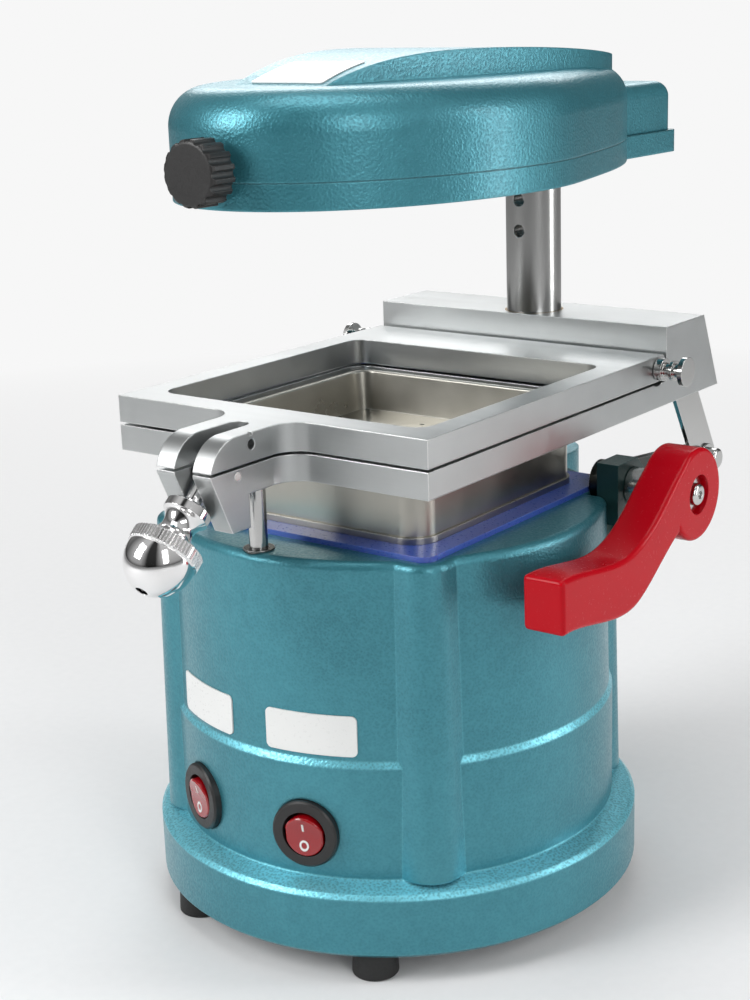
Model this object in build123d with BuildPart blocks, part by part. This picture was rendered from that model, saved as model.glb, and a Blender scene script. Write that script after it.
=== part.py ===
from build123d import *
import os
from math import asin, atan2, cos, degrees, hypot, radians, sin, sqrt

# Bench-top vacuum former for 127 mm square sheets.
# Millimetres. +Z up, front of the machine towards -Y, lever on the +X side.
# The origin is on the drum's own axis, in the plane that the rubber feet stand on.

# ---------------------------------------------------------------- sizes
# clearances
running = 0.05            # radial play of a shaft in its bore
slip = 0.3                # play between parts that pass each other
spigot_fit = 0.1          # radial play of parts that push together

# rubber feet
foot_height = 10.0
foot_r = 8.5
foot_circle_r = 83.5
foot_azimuths = (-30, 30, 125, -125)
foot_recess_r = 4.5
foot_recess_depth = 5.0
foot_screw_r = 2.0
foot_screw_head = 2.0
foot_screw_reach = 8.0    # thread above the plate
foot_taper = 2            # degrees
foot_fillet = 1.0

# drum shaped housing
housing_wall = 3.0
housing_top_z = 152.6
housing_top_wall = 3.6
skirt_r = 93.4
skirt_top_z = 34.0
shoulder_top_z = 36.2
belt_r = 84.5
belt_top_z = 78.4
step_top_z = 80.8
drum_r = 83.2
drum_top_r = 82.0
drum_rim_fillet = 3.0
skirt_fillet = 1.5
lobe_half = 67.3
lobe_corner_r = 12.3
lobe_draft = 1.13         # degrees

# base plate
plate_thickness = 2.5
vent_length = 30.0
vent_width = 4.0
vent_spacing = 9.0
vent_count = 5

# rear column that carries the post
post_r = 11.3
post_y = 104.3
post_bottom_z = 24.0
post_top_z = 291.7
post_chamfer = 0.8
column_r = 18.5
column_floor_z = 18.5
post_bolt_r = 4.0
post_bolt_head_r = 6.5
post_bolt_head = 5.3
post_bolt_depth = 16.0
height_hole_r = 2.6
height_hole_depth = 4.0
height_hole_zs = (242.5, 255.0, 267.5)

# guide rod at the front
rod_r = 3.3
rod_y = -76.0
rod_length = 97.0
rod_seat_depth = 6.0
rod_clip_r = 4.3
rod_clip_thickness = 1.0
rod_clip_mouth = 2.0
rod_clip_up = 2.5
rod_groove = 0.5
rod_chamfer = 0.6
bush_r = 4.9
bush_length = 24.0
bush_flange_r = 5.5
bush_flange = 0.6
bush_boss_r = 7.4

# rocker switches and name plates on the front panel
switch_z = 52.5
switch_azimuths = {"left": -21.5, "right": 14.0}
bezel_r = 12.5
bezel_thickness = 3.0
bezel_chamfer = 0.7
switch_seat_depth = 0.9   # seat spot-faced into the belt
switch_body_r = 9.9
switch_body_length = 18.0
switch_terminal = (6.3, 0.8, 8.0)
switch_terminal_spacing = 5.0
rocker_r = 7.6
rocker_half_width = 7.2
rocker_gap = 0.8
rocker_back = 1.4         # rocker behind its pivot
rocker_front = 6.4        # rocker in front of its pivot, at its two ends
rocker_dip = 1.0          # hollow in the middle of the rocker's face
rocker_edge = 0.5
rocker_pivot_depth = 2.2  # pivot behind the seat
rocker_pin_r = 1.2
rocker_pin_reach = 0.5
rocker_tilt = 6.0         # degrees each side of the middle
plate_azimuths = (-19.5, 15.6)
plate_z = 90.0
plate_width = 34.5
plate_height = 15.0
plate_corner_r = 2.0
plate_gauge = 0.5

# mains inlet and fuse holder on the rear left
inlet_azimuth = 212.0
inlet_z = 57.0
inlet_pad_r = 91.5        # distance of the flat pad's face from the drum's axis
inlet_pad_width = 66.0
inlet_pad_height = 30.0
inlet_flange_width = 40.0
inlet_flange_height = 24.0
inlet_flange = 2.5
inlet_body_width = 27.0
inlet_body_height = 19.6
inlet_body_length = 20.0
inlet_socket_width = 24.0
inlet_socket_height = 16.6
inlet_socket_depth = 16.0
inlet_offset = -10.0
inlet_pin = (2.0, 4.0, 12.0)
inlet_pin_spacing = 7.0
inlet_pin_rows = (-1.5, 2.5)
inlet_corner_r = 3.0
inlet_socket_corner_r = 2.0
inlet_screw_spacing = 34.0
inlet_screw_r = 1.5
inlet_screw_head_r = 2.8
inlet_screw_head = 1.6
inlet_screw_length = 9.0
fuse_offset = 22.0
fuse_body_r = 6.0
fuse_length = 26.0
fuse_cap_r = 8.0
fuse_cap = 7.0
fuse_cap_fillet = 1.0
fuse_slot = (9.0, 1.6, 1.5)

# silicone mat, tray and its stem
mat_gap = 0.6             # mat's edge short of the crank arm
mat_corner_r = 5.0
mat_thickness = 2.0
tray_half = 51.5
tray_corner_r = 9.0
tray_rim_z = 188.3
tray_rim_fillet = 0.8
tray_depth = 15.7
tray_floor = 3.0
tray_wall = 2.6
tray_floor_inset = 4.6
tray_floor_corner_r = 4.5
tray_hole_r = 1.0
tray_hole_spacing = 6.0
tray_row_spacing = 7.0
tray_hole_field_r = 38.0
tray_base_thickness = 2.4
tray_base_lip = 0.9
stem_r = 22.0
stem_wall = 3.5
stem_bottom_z = 132.0
stem_nut_across = 54.0
stem_nut_height = 6.0

# suction path and vacuum motor
duct_wall = 3.0
fan_case_r = 62.0
fan_case_bottom_z = 84.0
fan_case_height = 34.0
fan_case_wall = 2.0
fan_neck_height = 8.0
fan_window_width = 26.0
fan_window_height = 14.0
fan_rim_fillet = 3.0
impeller_r = 54.0
impeller_gap = 4.0
impeller_disc = 1.5
blade_height = 14.0
blade_count = 9
blade_inner_r = 22.0
blade_thickness = 1.2
blade_lean = 35.0         # degrees from radial
eye_r = 19.0
hub_r = 9.0
motor_r = 43.0
motor_wall = 2.0
motor_bottom_z = 26.0
motor_cap = 3.0
stator_inner_r = 27.0
stator_height = 34.0
stator_z = 36.0
rotor_gap = 0.6
shaft_r = 4.0
bearing_r = 11.0
bearing_width = 7.0
bracket_ring_r = 68.0
bracket_ring = 3.0
standoff_r = 5.0
standoff_circle_r = 60.0
standoff_azimuths = (45, 135, 225, 315)
standoff_screw_r = 2.0
standoff_screw_length = 14.0

# sheet frames
frame_half_x = 69.0
frame_front_y = -70.4
frame_window_half = 59.0
frame_window_r = 7.0
lower_bottom_z = 178.1
frame_thickness = 9.5
sheet_gap = 1.0
upper_thickness = 10.0

# cross beam at the back of the lower frame
beam_front_y = 91.3
beam_top_z = 208.9
beam_top_rear_y = 123.1
beam_rear_y = 136.3
beam_wall = 4.6
beam_cheek = 1.6
beam_boss_r = 16.0
post_bush_wall = 1.0
post_bush_length = 12.0

# nose of the frames and the swing bolt
nose_half = 12.0
nose_root_r = 10.0
slot_half = 4.0
slot_end_y = -84.0
bolt_pivot_y = -98.1
bolt_pivot_z = 185.2
nose_r = 13.4
cheek_bottom_z = 166.5
cheek_toe_y = -102.0
cheek_back_y = -93.0
cheek_lip = 1.0
nose_hole_r = 1.8
nose_hole_y = -90.8
nose_hole_depth = 5.0
nose_notch = 1.0
bolt_pin_r = 1.6
bolt_eye_r = 5.2
bolt_eye_half = 3.6
bolt_r = 3.0
bolt_length = 40.0
bolt_hang = 41.5          # degrees below the horizontal, towards the front
bolt_eye_fillet = 0.6

# chrome clamp knob, measured along the bolt from its pivot
knob_collar_start = 14.5
knob_collar_end = 18.8
knob_collar_r = 8.0
knob_waist_r = 5.6
knob_waist_end = 26.6
knob_flange_start = 28.5
knob_flange_end = 34.2
knob_flange_r = 12.5
knob_dome_r = 12.2
knob_tip = 47.7
knob_tip_hole_r = 2.2
knob_tip_hole_depth = 4.0
knob_bore_end = 42.0
knurl_count = 60
knurl_r = 0.42

# hinge at the back of the upper frame
hinge_y = 84.5
hinge_z = 193.6
hinge_round_r = 6.5
hinge_lug_x = 56.0        # middle of the lug
hinge_lug_half = 4.0
hinge_lug_r = 3.6
hinge_pin_r = 2.0
hinge_collar_r = 4.4
hinge_collar = 3.0
hinge_neck_r = 2.8
hinge_ring_r = 3.9
hinge_ring = 1.4
hinge_ring_out = 6.2      # ring's inner face outside the frame
hinge_head_r = 5.75
hinge_head = 2.0
hinge_reach = 13.0        # pin head's face outside the frame

# lever, its bracket and link
lever_y = 52.0
lever_z = 155.7
lever_shaft_r = 5.0
bracket_front_y = 41.0
bracket_rear_y = 61.0
bracket_width = 9.1
bracket_top_z = 165.5
bracket_bottom_z = 124.0
bracket_flange = 4.0
bracket_flange_top_z = 142.0
bracket_corner = 5.0
bracket_bolt_r = 2.5
bracket_bolt_head_r = 4.1
bracket_bolt_head = 3.2
bracket_bolt_length = 12.0
bracket_bolt_socket_r = 2.2
bracket_bolt_zs = (129.0, 137.3)
notch_floor_z = 142.0
notch_front_y = 40.7
notch_rear_y = 75.0
arm_thickness = 3.4
arm_half_width = 5.8
arm_boss_r = 8.0
arm_boss = 1.6            # boss beyond the arm's face
arm_gap = 0.2             # between the arm and the link
link_pin_y = 130.6
link_pin_z = 147.7
link_top_y = 108.0
link_top_z = 186.4
link_cheek_gap = 0.4      # between the link and the beam's cheek
link_thickness = 1.8
link_r = 8.3
link_pin_r = 2.5
link_top_play = 2.7       # radial play of the link's upper hole on its pin
link_washer_r = 5.8
link_washer = 0.9
link_head_r = 4.3
link_head = 5.0
link_head_fillet = 1.2
link_rib_length = 9.2
link_rib_half = 8.0

# handle
handle_clearance = 6.0    # handle's inner face outside the drum's top
handle_width = 16.0
handle_hub_r = 17.5
handle_edge = 1.6
handle_bore_depth = 11.0
handle_recess_r = 7.5
handle_recess_depth = 3.5
shoulder_r = 7.0
grip_top = ((-44.8, 149.2), (-20.0, 147.0), (1.4, 146.0), (14.2, 150.2), (28.8, 160.2), (41.0, 169.0))
grip_bottom = ((37.8, 144.6), (26.7, 138.3), (14.6, 130.4), (6.0, 126.2), (-12.0, 125.6), (-44.5, 129.6))
handle_washer_r = 6.2
handle_washer = 1.2
handle_screw_r = 2.5
handle_screw_head_r = 4.2
handle_screw_head = 2.8
handle_screw_length = 12.0
handle_screw_socket_r = 1.7
handle_screw_fillet = 1.4

# heater head
head_bottom_z = 270.0
head_seam_z = 279.0
head_wall = 2.6
head_floor = 3.0
head_centre_y = 12.0
head_half_width = 66.0
head_front = 98.0         # front half axis of the oval
head_crown_z = 308.0
head_round = 13.5
head_mid = (60.6, 45.6)
head_waist = (48.2, 90.7)
head_neck = (36.0, 118.0)
tail_half = 33.0
tail_lip_half = 35.0
tail_rear_y = 162.0
tail_lip_y = 164.0
tail_top_z = 299.0
tail_round = 6.0
tail_corner_r = 5.0
spine_front_half = 19.0
spine_front_y = -60.0
spine_mid_half = 35.0
spine_mid_y = 40.0
spine_rear_y = 128.0
spine_base_z = 296.0
spine_line = ((-66.0, 303.0), (-52.0, 308.6), (-28.0, 314.4), (20.0, 317.3), (81.0, 314.5), (134.0, 309.0))
spine_round = 4.5
head_opening_r = 54.0
head_screw_places = ((-22.0, -66.0), (22.0, -66.0), (-37.0, 72.0), (37.0, 72.0))
head_screw_r = 1.75
head_screw_head_r = 3.4
head_screw_head = 2.2
head_screw_length = 16.0
head_boss_r = 4.5
tail_boss_r = 17.5

# heater
reflector_lip_r = 57.5
reflector_lip = 0.8
reflector_r = 52.0
reflector_height = 12.5
reflector_wall = 0.8
element_r = 3.2
element_rings = (38.0, 22.0)
element_z = 284.5
element_leg_spacing = 13.0  # between the two legs of a ring
element_leg = 11.0
insulator_r = 5.0

# head set screw, swing handle knob and head plate
set_screw_z = 289.0
set_screw_r = 3.0
set_screw_head_r = 5.0
set_screw_head = 5.0
set_screw_socket_r = 2.4
set_screw_socket_depth = 3.0
set_screw_fillet = 0.5
head_knob_r = 11.0
head_knob_face_y = -100.7
head_knob_z = 283.0
head_knob_thickness = 10.5
head_knob_flutes = 16
head_knob_flute_r = 1.5
head_knob_dome = 1.6
head_knob_bore_depth = 7.0
head_stud_r = 3.0
head_stud_end = 1.5
head_nut_across = 10.0
head_nut_height = 4.0
head_nut_gap = 0.6        # flat nut against the curved wall
head_plate_width = 31.0
head_plate_length = 24.0
head_plate_x = 1.5
head_plate_y = -40.0
head_plate_gauge = 0.4

# ---------------------------------------------------------------- places worked out from the sizes
plate_top_z = foot_height + plate_thickness
lower_top_z = lower_bottom_z + frame_thickness
upper_bottom_z = lower_top_z + sheet_gap
upper_top_z = upper_bottom_z + upper_thickness
mat_top_z = housing_top_z + mat_thickness
tray_base_top_z = mat_top_z + tray_base_thickness
tray_floor_z = tray_rim_z - tray_depth
housing_ceiling_z = housing_top_z - housing_top_wall
beam_ceiling_z = beam_top_z - beam_wall
cheek_inner_x = frame_half_x - beam_cheek
fan_case_top_z = fan_case_bottom_z + fan_case_height
head_inner_floor_z = head_bottom_z + head_floor
link_outer_x = cheek_inner_x - link_cheek_gap
link_inner_x = link_outer_x - link_thickness
link_rib_inner_x = link_inner_x - link_rib_length
arm_inner_x = link_inner_x - arm_gap - arm_thickness
arm_boss_x = arm_inner_x + arm_thickness + arm_boss
notch_inner_x = arm_inner_x - slip
bracket_inner_x = arm_boss_x + slip
bracket_flange_x = bracket_inner_x + bracket_flange
bracket_outer_x = bracket_inner_x + bracket_width
handle_inner_x = drum_top_r + handle_clearance
handle_outer_x = handle_inner_x + handle_width
mat_half = arm_inner_x - mat_gap
switch_seat_r = belt_r - switch_seat_depth
rocker_pivot_r = switch_seat_r - rocker_pivot_depth
hang = radians(bolt_hang)
bolt_dir = Vector(0, -cos(hang), -sin(hang))
bolt_pivot = Vector(0, bolt_pivot_y, bolt_pivot_z)
link_span = hypot(link_top_y - link_pin_y, link_top_z - link_pin_z)


def radial_plane(azimuth, distance, z):
    """Plane square to the drum's radius; 0 degrees faces the front, positive turns to +X."""
    out = Vector(sin(radians(azimuth)), -cos(radians(azimuth)), 0)
    along = Vector(cos(radians(azimuth)), sin(radians(azimuth)), 0)
    return Plane(origin=out * distance + Vector(0, 0, z), x_dir=along, z_dir=out)


def around(azimuth, radius):
    """Point in plan at an azimuth; 0 degrees faces the front."""
    return (radius * sin(radians(azimuth)), -radius * cos(radians(azimuth)))


# ---------------------------------------------------------------- housing, plate and feet
with BuildPart() as lobes:
    with BuildSketch(Plane.XY.offset(shoulder_top_z)):
        RectangleRounded(2 * lobe_half, 2 * lobe_half, lobe_corner_r)
    extrude(amount=housing_top_z - shoulder_top_z, taper=lobe_draft)
    fillet(lobes.faces().sort_by(Axis.Z)[-1].edges(), drum_rim_fillet)

with BuildPart() as drum_cavity:
    with BuildSketch(Plane.XZ):
        with BuildLine():
            Polyline(
                (0, foot_height),
                (skirt_r - housing_wall, foot_height),
                (skirt_r - housing_wall, skirt_top_z - housing_wall),
                (belt_r - housing_wall, shoulder_top_z - housing_wall),
                (belt_r - housing_wall, belt_top_z),
                (drum_r - housing_wall, step_top_z),
                (drum_top_r - housing_wall, housing_ceiling_z),
                (0, housing_ceiling_z),
                close=True,
            )
        make_face()
    revolve(axis=Axis.Z)
    with Locations((0, rod_y, housing_top_z)):
        Cylinder(
            bush_boss_r, bush_length + 1, align=(Align.CENTER, Align.CENTER, Align.MAX), mode=Mode.SUBTRACT
        )
    # walls round the notch of the lever and behind its bracket
    with BuildSketch(Plane.YZ.offset(notch_inner_x - housing_wall)):
        with Locations((notch_front_y - housing_wall, bracket_bottom_z - slip - housing_wall)):
            Rectangle(notch_rear_y, housing_top_z, align=(Align.MIN, Align.MIN))
    extrude(amount=skirt_r, mode=Mode.SUBTRACT)

with BuildPart() as base_housing:
    with BuildSketch(Plane.XZ):
        with BuildLine():
            Polyline(
                (0, foot_height),
                (skirt_r - skirt_fillet, foot_height),
                (skirt_r, foot_height + skirt_fillet),
                (skirt_r, skirt_top_z - skirt_fillet),
                (skirt_r - skirt_fillet, skirt_top_z),
                (belt_r, shoulder_top_z),
                (belt_r, belt_top_z),
                (drum_r, step_top_z),
                (drum_top_r, housing_top_z),
                (0, housing_top_z),
                close=True,
            )
        make_face()
    revolve(axis=Axis.Z)
    fillet(base_housing.edges().filter_by(GeomType.CIRCLE).sort_by(Axis.Z)[-1], drum_rim_fillet)
    add(lobes.part)
    # rear column for the post
    with BuildSketch(Plane.XY.offset(foot_height)):
        with Locations((0, post_y)):
            Circle(column_r)
        with Locations((0, post_y - column_r)):
            Rectangle(2 * column_r, 2 * column_r)
    extrude(amount=housing_top_z - drum_rim_fillet - foot_height)
    # flat pad for the mains inlet
    with BuildSketch(radial_plane(inlet_azimuth, belt_r - 2 * housing_wall, inlet_z)):
        RectangleRounded(inlet_pad_width, inlet_pad_height, inlet_corner_r)
    extrude(amount=inlet_pad_r - belt_r + 2 * housing_wall)
    # pad that the lever's bracket is bolted to
    with BuildSketch(Plane.YZ.offset(notch_inner_x - housing_wall)):
        with Locations((notch_front_y, bracket_bottom_z - slip)):
            Rectangle(
                bracket_rear_y + slip - notch_front_y,
                notch_floor_z - bracket_bottom_z + slip,
                align=(Align.MIN, Align.MIN),
            )
    extrude(amount=bracket_inner_x - notch_inner_x + housing_wall)
    add(drum_cavity.part, mode=Mode.SUBTRACT)
    # flat seat of the bracket
    with BuildSketch(Plane.YZ.offset(bracket_inner_x)):
        with Locations((notch_front_y, bracket_bottom_z - slip)):
            Rectangle(bracket_rear_y + slip - notch_front_y, housing_top_z, align=(Align.MIN, Align.MIN))
    extrude(amount=skirt_r, mode=Mode.SUBTRACT)
    # notch in which the crank arm swings
    with BuildSketch(Plane.YZ.offset(notch_inner_x)):
        with Locations((notch_front_y, notch_floor_z)):
            Rectangle(
                notch_rear_y - notch_front_y, housing_top_z - notch_floor_z + 1, align=(Align.MIN, Align.MIN)
            )
    extrude(amount=lobe_half, mode=Mode.SUBTRACT)
    # bore for the post and its bolt
    with Locations((0, post_y, post_bottom_z)):
        Cylinder(
            post_r + running, housing_top_z, align=(Align.CENTER, Align.CENTER, Align.MIN), mode=Mode.SUBTRACT
        )
    with Locations((0, post_y, foot_height)):
        Cylinder(
            post_bolt_r + slip,
            post_bottom_z,
            align=(Align.CENTER, Align.CENTER, Align.MIN),
            mode=Mode.SUBTRACT,
        )
        Cylinder(
            post_bolt_head_r + slip,
            column_floor_z - foot_height,
            align=(Align.CENTER, Align.CENTER, Align.MIN),
            mode=Mode.SUBTRACT,
        )
    # bore for the guide rod's bush, and room for the rod's clip below it
    with Locations((0, rod_y, housing_top_z)):
        Cylinder(bush_r, 2 * bush_length + 4, mode=Mode.SUBTRACT)
    with Locations((0, rod_y, belt_top_z)):
        Cylinder(
            rod_clip_r + slip,
            housing_ceiling_z - belt_top_z,
            align=(Align.CENTER, Align.CENTER, Align.MIN),
            mode=Mode.SUBTRACT,
        )
    # hole for the tray's stem
    with Locations((0, 0, housing_top_z)):
        Cylinder(stem_r + slip, 4 * housing_top_wall, mode=Mode.SUBTRACT)
    # switch seats and holes
    for azimuth in switch_azimuths.values():
        with BuildSketch(radial_plane(azimuth, switch_seat_r, switch_z)):
            Circle(bezel_r + slip)
        extrude(amount=2 * housing_wall, mode=Mode.SUBTRACT)
        with BuildSketch(radial_plane(azimuth, switch_seat_r, switch_z)):
            Circle(switch_body_r + spigot_fit)
        extrude(amount=-3 * housing_wall, mode=Mode.SUBTRACT)
    # inlet and fuse holes
    with BuildSketch(radial_plane(inlet_azimuth, inlet_pad_r, inlet_z)):
        with Locations((inlet_offset, 0)):
            Rectangle(inlet_body_width + 2 * spigot_fit, inlet_body_height + 2 * spigot_fit)
        with Locations(*[(inlet_offset + side * inlet_screw_spacing / 2, 0) for side in (-1, 1)]):
            Circle(inlet_screw_r)
        with Locations((fuse_offset, 0)):
            Circle(fuse_body_r + spigot_fit)
    extrude(amount=-12 * housing_wall, mode=Mode.SUBTRACT)
    # bolt holes of the bracket
    with BuildSketch(Plane.YZ.offset(bracket_inner_x)):
        with Locations(*[((bracket_front_y + bracket_rear_y) / 2, z) for z in bracket_bolt_zs]):
            Circle(bracket_bolt_r)
    extrude(amount=-bracket_bolt_length, mode=Mode.SUBTRACT)
    # screw bosses over the feet
    with BuildSketch(Plane.XY.offset(plate_top_z)):
        with Locations(*[around(a, foot_circle_r) for a in foot_azimuths]):
            Circle(foot_screw_r + housing_wall)
            Circle(foot_screw_r, mode=Mode.SUBTRACT)
    extrude(amount=skirt_top_z - plate_top_z - 1)

with BuildPart() as base_plate:
    with BuildSketch(Plane.XY.offset(foot_height)):
        Circle(skirt_r - housing_wall - spigot_fit)
        with GridLocations(0, vent_spacing, 1, vent_count):
            SlotOverall(vent_length, vent_width, mode=Mode.SUBTRACT)
        with Locations(*[around(a, foot_circle_r) for a in foot_azimuths]):
            Circle(foot_screw_r + running, mode=Mode.SUBTRACT)
    extrude(amount=plate_thickness)

with BuildPart() as rubber_feet:
    with BuildSketch():
        with Locations(*[around(a, foot_circle_r) for a in foot_azimuths]):
            Circle(foot_r)
    extrude(amount=foot_height, taper=foot_taper)
    fillet(rubber_feet.edges().group_by(Axis.Z)[0], foot_fillet)
    with BuildSketch():
        with Locations(*[around(a, foot_circle_r) for a in foot_azimuths]):
            Circle(foot_recess_r)
    extrude(amount=foot_recess_depth, mode=Mode.SUBTRACT)
    with BuildSketch():
        with Locations(*[around(a, foot_circle_r) for a in foot_azimuths]):
            Circle(foot_screw_r + running)
    extrude(amount=foot_height, mode=Mode.SUBTRACT)

with BuildPart() as foot_screws:
    with BuildSketch(Plane.XY.offset(foot_recess_depth - foot_screw_head)):
        with Locations(*[around(a, foot_circle_r) for a in foot_azimuths]):
            Circle(foot_recess_r - slip)
    extrude(amount=foot_screw_head)
    with BuildSketch(Plane.XY.offset(foot_recess_depth)):
        with Locations(*[around(a, foot_circle_r) for a in foot_azimuths]):
            Circle(foot_screw_r - running)
    extrude(amount=plate_top_z + foot_screw_reach - foot_recess_depth)

# ---------------------------------------------------------------- post and guide rod
with BuildPart() as post:
    with Locations((0, post_y, post_bottom_z)):
        Cylinder(post_r, post_top_z - post_bottom_z, align=(Align.CENTER, Align.CENTER, Align.MIN))
    chamfer(post.edges().sort_by(Axis.Z)[-1], post_chamfer)
    with BuildSketch(Plane.XZ.offset(-post_y + post_r)):
        with Locations(*[(0, z) for z in height_hole_zs]):
            Circle(height_hole_r)
    extrude(amount=-height_hole_depth, mode=Mode.SUBTRACT)
    with Locations((0, post_y, post_bottom_z)):
        Cylinder(
            post_bolt_r, post_bolt_depth, align=(Align.CENTER, Align.CENTER, Align.MIN), mode=Mode.SUBTRACT
        )

with BuildPart() as post_bolt:
    with BuildSketch(Plane.XY.offset(column_floor_z - post_bolt_head)):
        with Locations((0, post_y)):
            RegularPolygon(post_bolt_head_r, 6)
    extrude(amount=post_bolt_head)
    with Locations((0, post_y, column_floor_z)):
        Cylinder(
            post_bolt_r - running,
            post_bottom_z + post_bolt_depth - 1 - column_floor_z,
            align=(Align.CENTER, Align.CENTER, Align.MIN),
        )

with BuildPart() as guide_bush:
    with Locations((0, rod_y, housing_top_z)):
        Cylinder(bush_r, bush_length, align=(Align.CENTER, Align.CENTER, Align.MAX))
        Cylinder(bush_flange_r, bush_flange, align=(Align.CENTER, Align.CENTER, Align.MIN))
        Cylinder(rod_r + running, 4 * bush_length, mode=Mode.SUBTRACT)

rod_top_z = lower_bottom_z + rod_seat_depth
with BuildPart() as guide_rod:
    with Locations((0, rod_y, rod_top_z)):
        Cylinder(rod_r, rod_length, align=(Align.CENTER, Align.CENTER, Align.MAX))
    chamfer(guide_rod.edges().sort_by(Axis.Z)[0], rod_chamfer)
    with BuildSketch(Plane.XY.offset(rod_top_z - rod_length + rod_clip_up)):
        with Locations((0, rod_y)):
            Circle(rod_clip_r)
            Circle(rod_r - rod_groove, mode=Mode.SUBTRACT)
    extrude(amount=rod_clip_thickness, mode=Mode.SUBTRACT)

with BuildPart() as rod_clip:
    with BuildSketch(Plane.XY.offset(rod_top_z - rod_length + rod_clip_up)):
        with Locations((0, rod_y)):
            Circle(rod_clip_r)
            Circle(rod_r - rod_groove, mode=Mode.SUBTRACT)
        with Locations((0, rod_y + rod_r)):
            Rectangle(rod_clip_mouth, rod_r, mode=Mode.SUBTRACT)
    extrude(amount=rod_clip_thickness)

# ---------------------------------------------------------------- switches and plates on the drum
with BuildPart() as switch_bezels:
    for azimuth in switch_azimuths.values():
        seat = radial_plane(azimuth, switch_seat_r, switch_z)
        pivot_plane = radial_plane(azimuth, rocker_pivot_r, switch_z)
        with BuildSketch(seat):
            Circle(bezel_r)
        extrude(amount=bezel_thickness)
        chamfer(switch_bezels.faces().sort_by(Axis(seat.origin, seat.z_dir))[-1].edges(), bezel_chamfer)
        with BuildSketch(seat):
            Circle(switch_body_r)
        extrude(amount=-switch_body_length)
        # well that the rocker tilts in, with its pivot holes
        with BuildSketch(radial_plane(azimuth, rocker_pivot_r - rocker_back - 2 * rocker_gap, switch_z)):
            Circle(rocker_r + rocker_gap)
        extrude(amount=3 * bezel_thickness + rocker_front, mode=Mode.SUBTRACT)
        with BuildSketch(Plane(origin=pivot_plane.origin, z_dir=pivot_plane.x_dir)):
            Circle(rocker_pin_r + running)
        extrude(amount=rocker_r + rocker_gap + rocker_pin_reach, both=True, mode=Mode.SUBTRACT)
        with BuildSketch(radial_plane(azimuth, switch_seat_r - switch_body_length, switch_z)):
            with GridLocations(0, switch_terminal_spacing, 1, 3):
                Rectangle(switch_terminal[0], switch_terminal[1])
        extrude(amount=-switch_terminal[2])

# the rockers rest tilted, their lower ends pressed in
rockers = {}
for side, azimuth in switch_azimuths.items():
    pivot_plane = radial_plane(azimuth, rocker_pivot_r, switch_z)
    pivot_axis = Axis(pivot_plane.origin, pivot_plane.x_dir)
    with BuildPart() as rocker:
        with BuildSketch(Plane(origin=pivot_plane.origin, x_dir=pivot_plane.z_dir, z_dir=-pivot_plane.x_dir)):
            with BuildLine():
                Line((-rocker_back, -rocker_r), (-rocker_back, rocker_r))
                Line((-rocker_back, rocker_r), (rocker_front, rocker_r))
                ThreePointArc(
                    (rocker_front, rocker_r), (rocker_front - rocker_dip, 0), (rocker_front, -rocker_r)
                )
                Line((rocker_front, -rocker_r), (-rocker_back, -rocker_r))
            make_face()
        extrude(amount=rocker_half_width, both=True)
        with BuildSketch(pivot_plane):
            Circle(rocker_r)
        extrude(amount=2 * rocker_front, both=True, mode=Mode.INTERSECT)
        chamfer(rocker.faces().sort_by(Axis(pivot_plane.origin, pivot_plane.z_dir))[-1].edges(), rocker_edge)
        with BuildSketch(Plane(origin=pivot_plane.origin, z_dir=pivot_plane.x_dir)):
            Circle(rocker_pin_r)
        extrude(amount=rocker_r + rocker_gap + rocker_pin_reach - running, both=True)
    rocker.part = rocker.part.rotate(pivot_axis, rocker_tilt)
    rockers[side] = rocker

with BuildPart() as plate_cutter:
    for azimuth in plate_azimuths:
        with BuildSketch(radial_plane(azimuth, 0, plate_z)):
            RectangleRounded(plate_width, plate_height, plate_corner_r)
        extrude(amount=2 * drum_r)

with BuildPart() as name_plates:
    # skin that follows the drum's upper wall, cut to the two plates
    with BuildSketch(Plane.XZ):
        with BuildLine():
            Polyline(
                (drum_r, step_top_z),
                (drum_r + plate_gauge, step_top_z),
                (drum_top_r + plate_gauge, housing_top_z),
                (drum_top_r, housing_top_z),
                close=True,
            )
        make_face()
    revolve(axis=Axis.Z)
    add(plate_cutter.part, mode=Mode.INTERSECT)

# ---------------------------------------------------------------- mains inlet and fuse holder
inlet_face = radial_plane(inlet_azimuth, inlet_pad_r, inlet_z)
with BuildPart() as power_inlet:
    with BuildSketch(inlet_face):
        with Locations((inlet_offset, 0)):
            RectangleRounded(inlet_flange_width, inlet_flange_height, inlet_corner_r)
            with Locations((-inlet_screw_spacing / 2, 0), (inlet_screw_spacing / 2, 0)):
                Circle(inlet_screw_r + running, mode=Mode.SUBTRACT)
    extrude(amount=inlet_flange)
    with BuildSketch(inlet_face):
        with Locations((inlet_offset, 0)):
            Rectangle(inlet_body_width, inlet_body_height)
    extrude(amount=-inlet_body_length)
    with BuildSketch(inlet_face.offset(inlet_flange)):
        with Locations((inlet_offset, 0)):
            RectangleRounded(inlet_socket_width, inlet_socket_height, inlet_socket_corner_r)
    extrude(amount=-inlet_socket_depth, mode=Mode.SUBTRACT)
    with BuildSketch(inlet_face.offset(inlet_flange - inlet_socket_depth)):
        with Locations(
            (inlet_offset - inlet_pin_spacing, inlet_pin_rows[0]),
            (inlet_offset, inlet_pin_rows[1]),
            (inlet_offset + inlet_pin_spacing, inlet_pin_rows[0]),
        ):
            Rectangle(inlet_pin[0], inlet_pin[1])
    extrude(amount=inlet_pin[2])

with BuildPart() as inlet_screws:
    for place in (inlet_offset - inlet_screw_spacing / 2, inlet_offset + inlet_screw_spacing / 2):
        with BuildSketch(inlet_face.offset(inlet_flange)):
            with Locations((place, 0)):
                Circle(inlet_screw_head_r)
        extrude(amount=inlet_screw_head)
        with BuildSketch(inlet_face.offset(inlet_flange)):
            with Locations((place, 0)):
                Circle(inlet_screw_r - running)
        extrude(amount=-inlet_screw_length)

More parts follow.
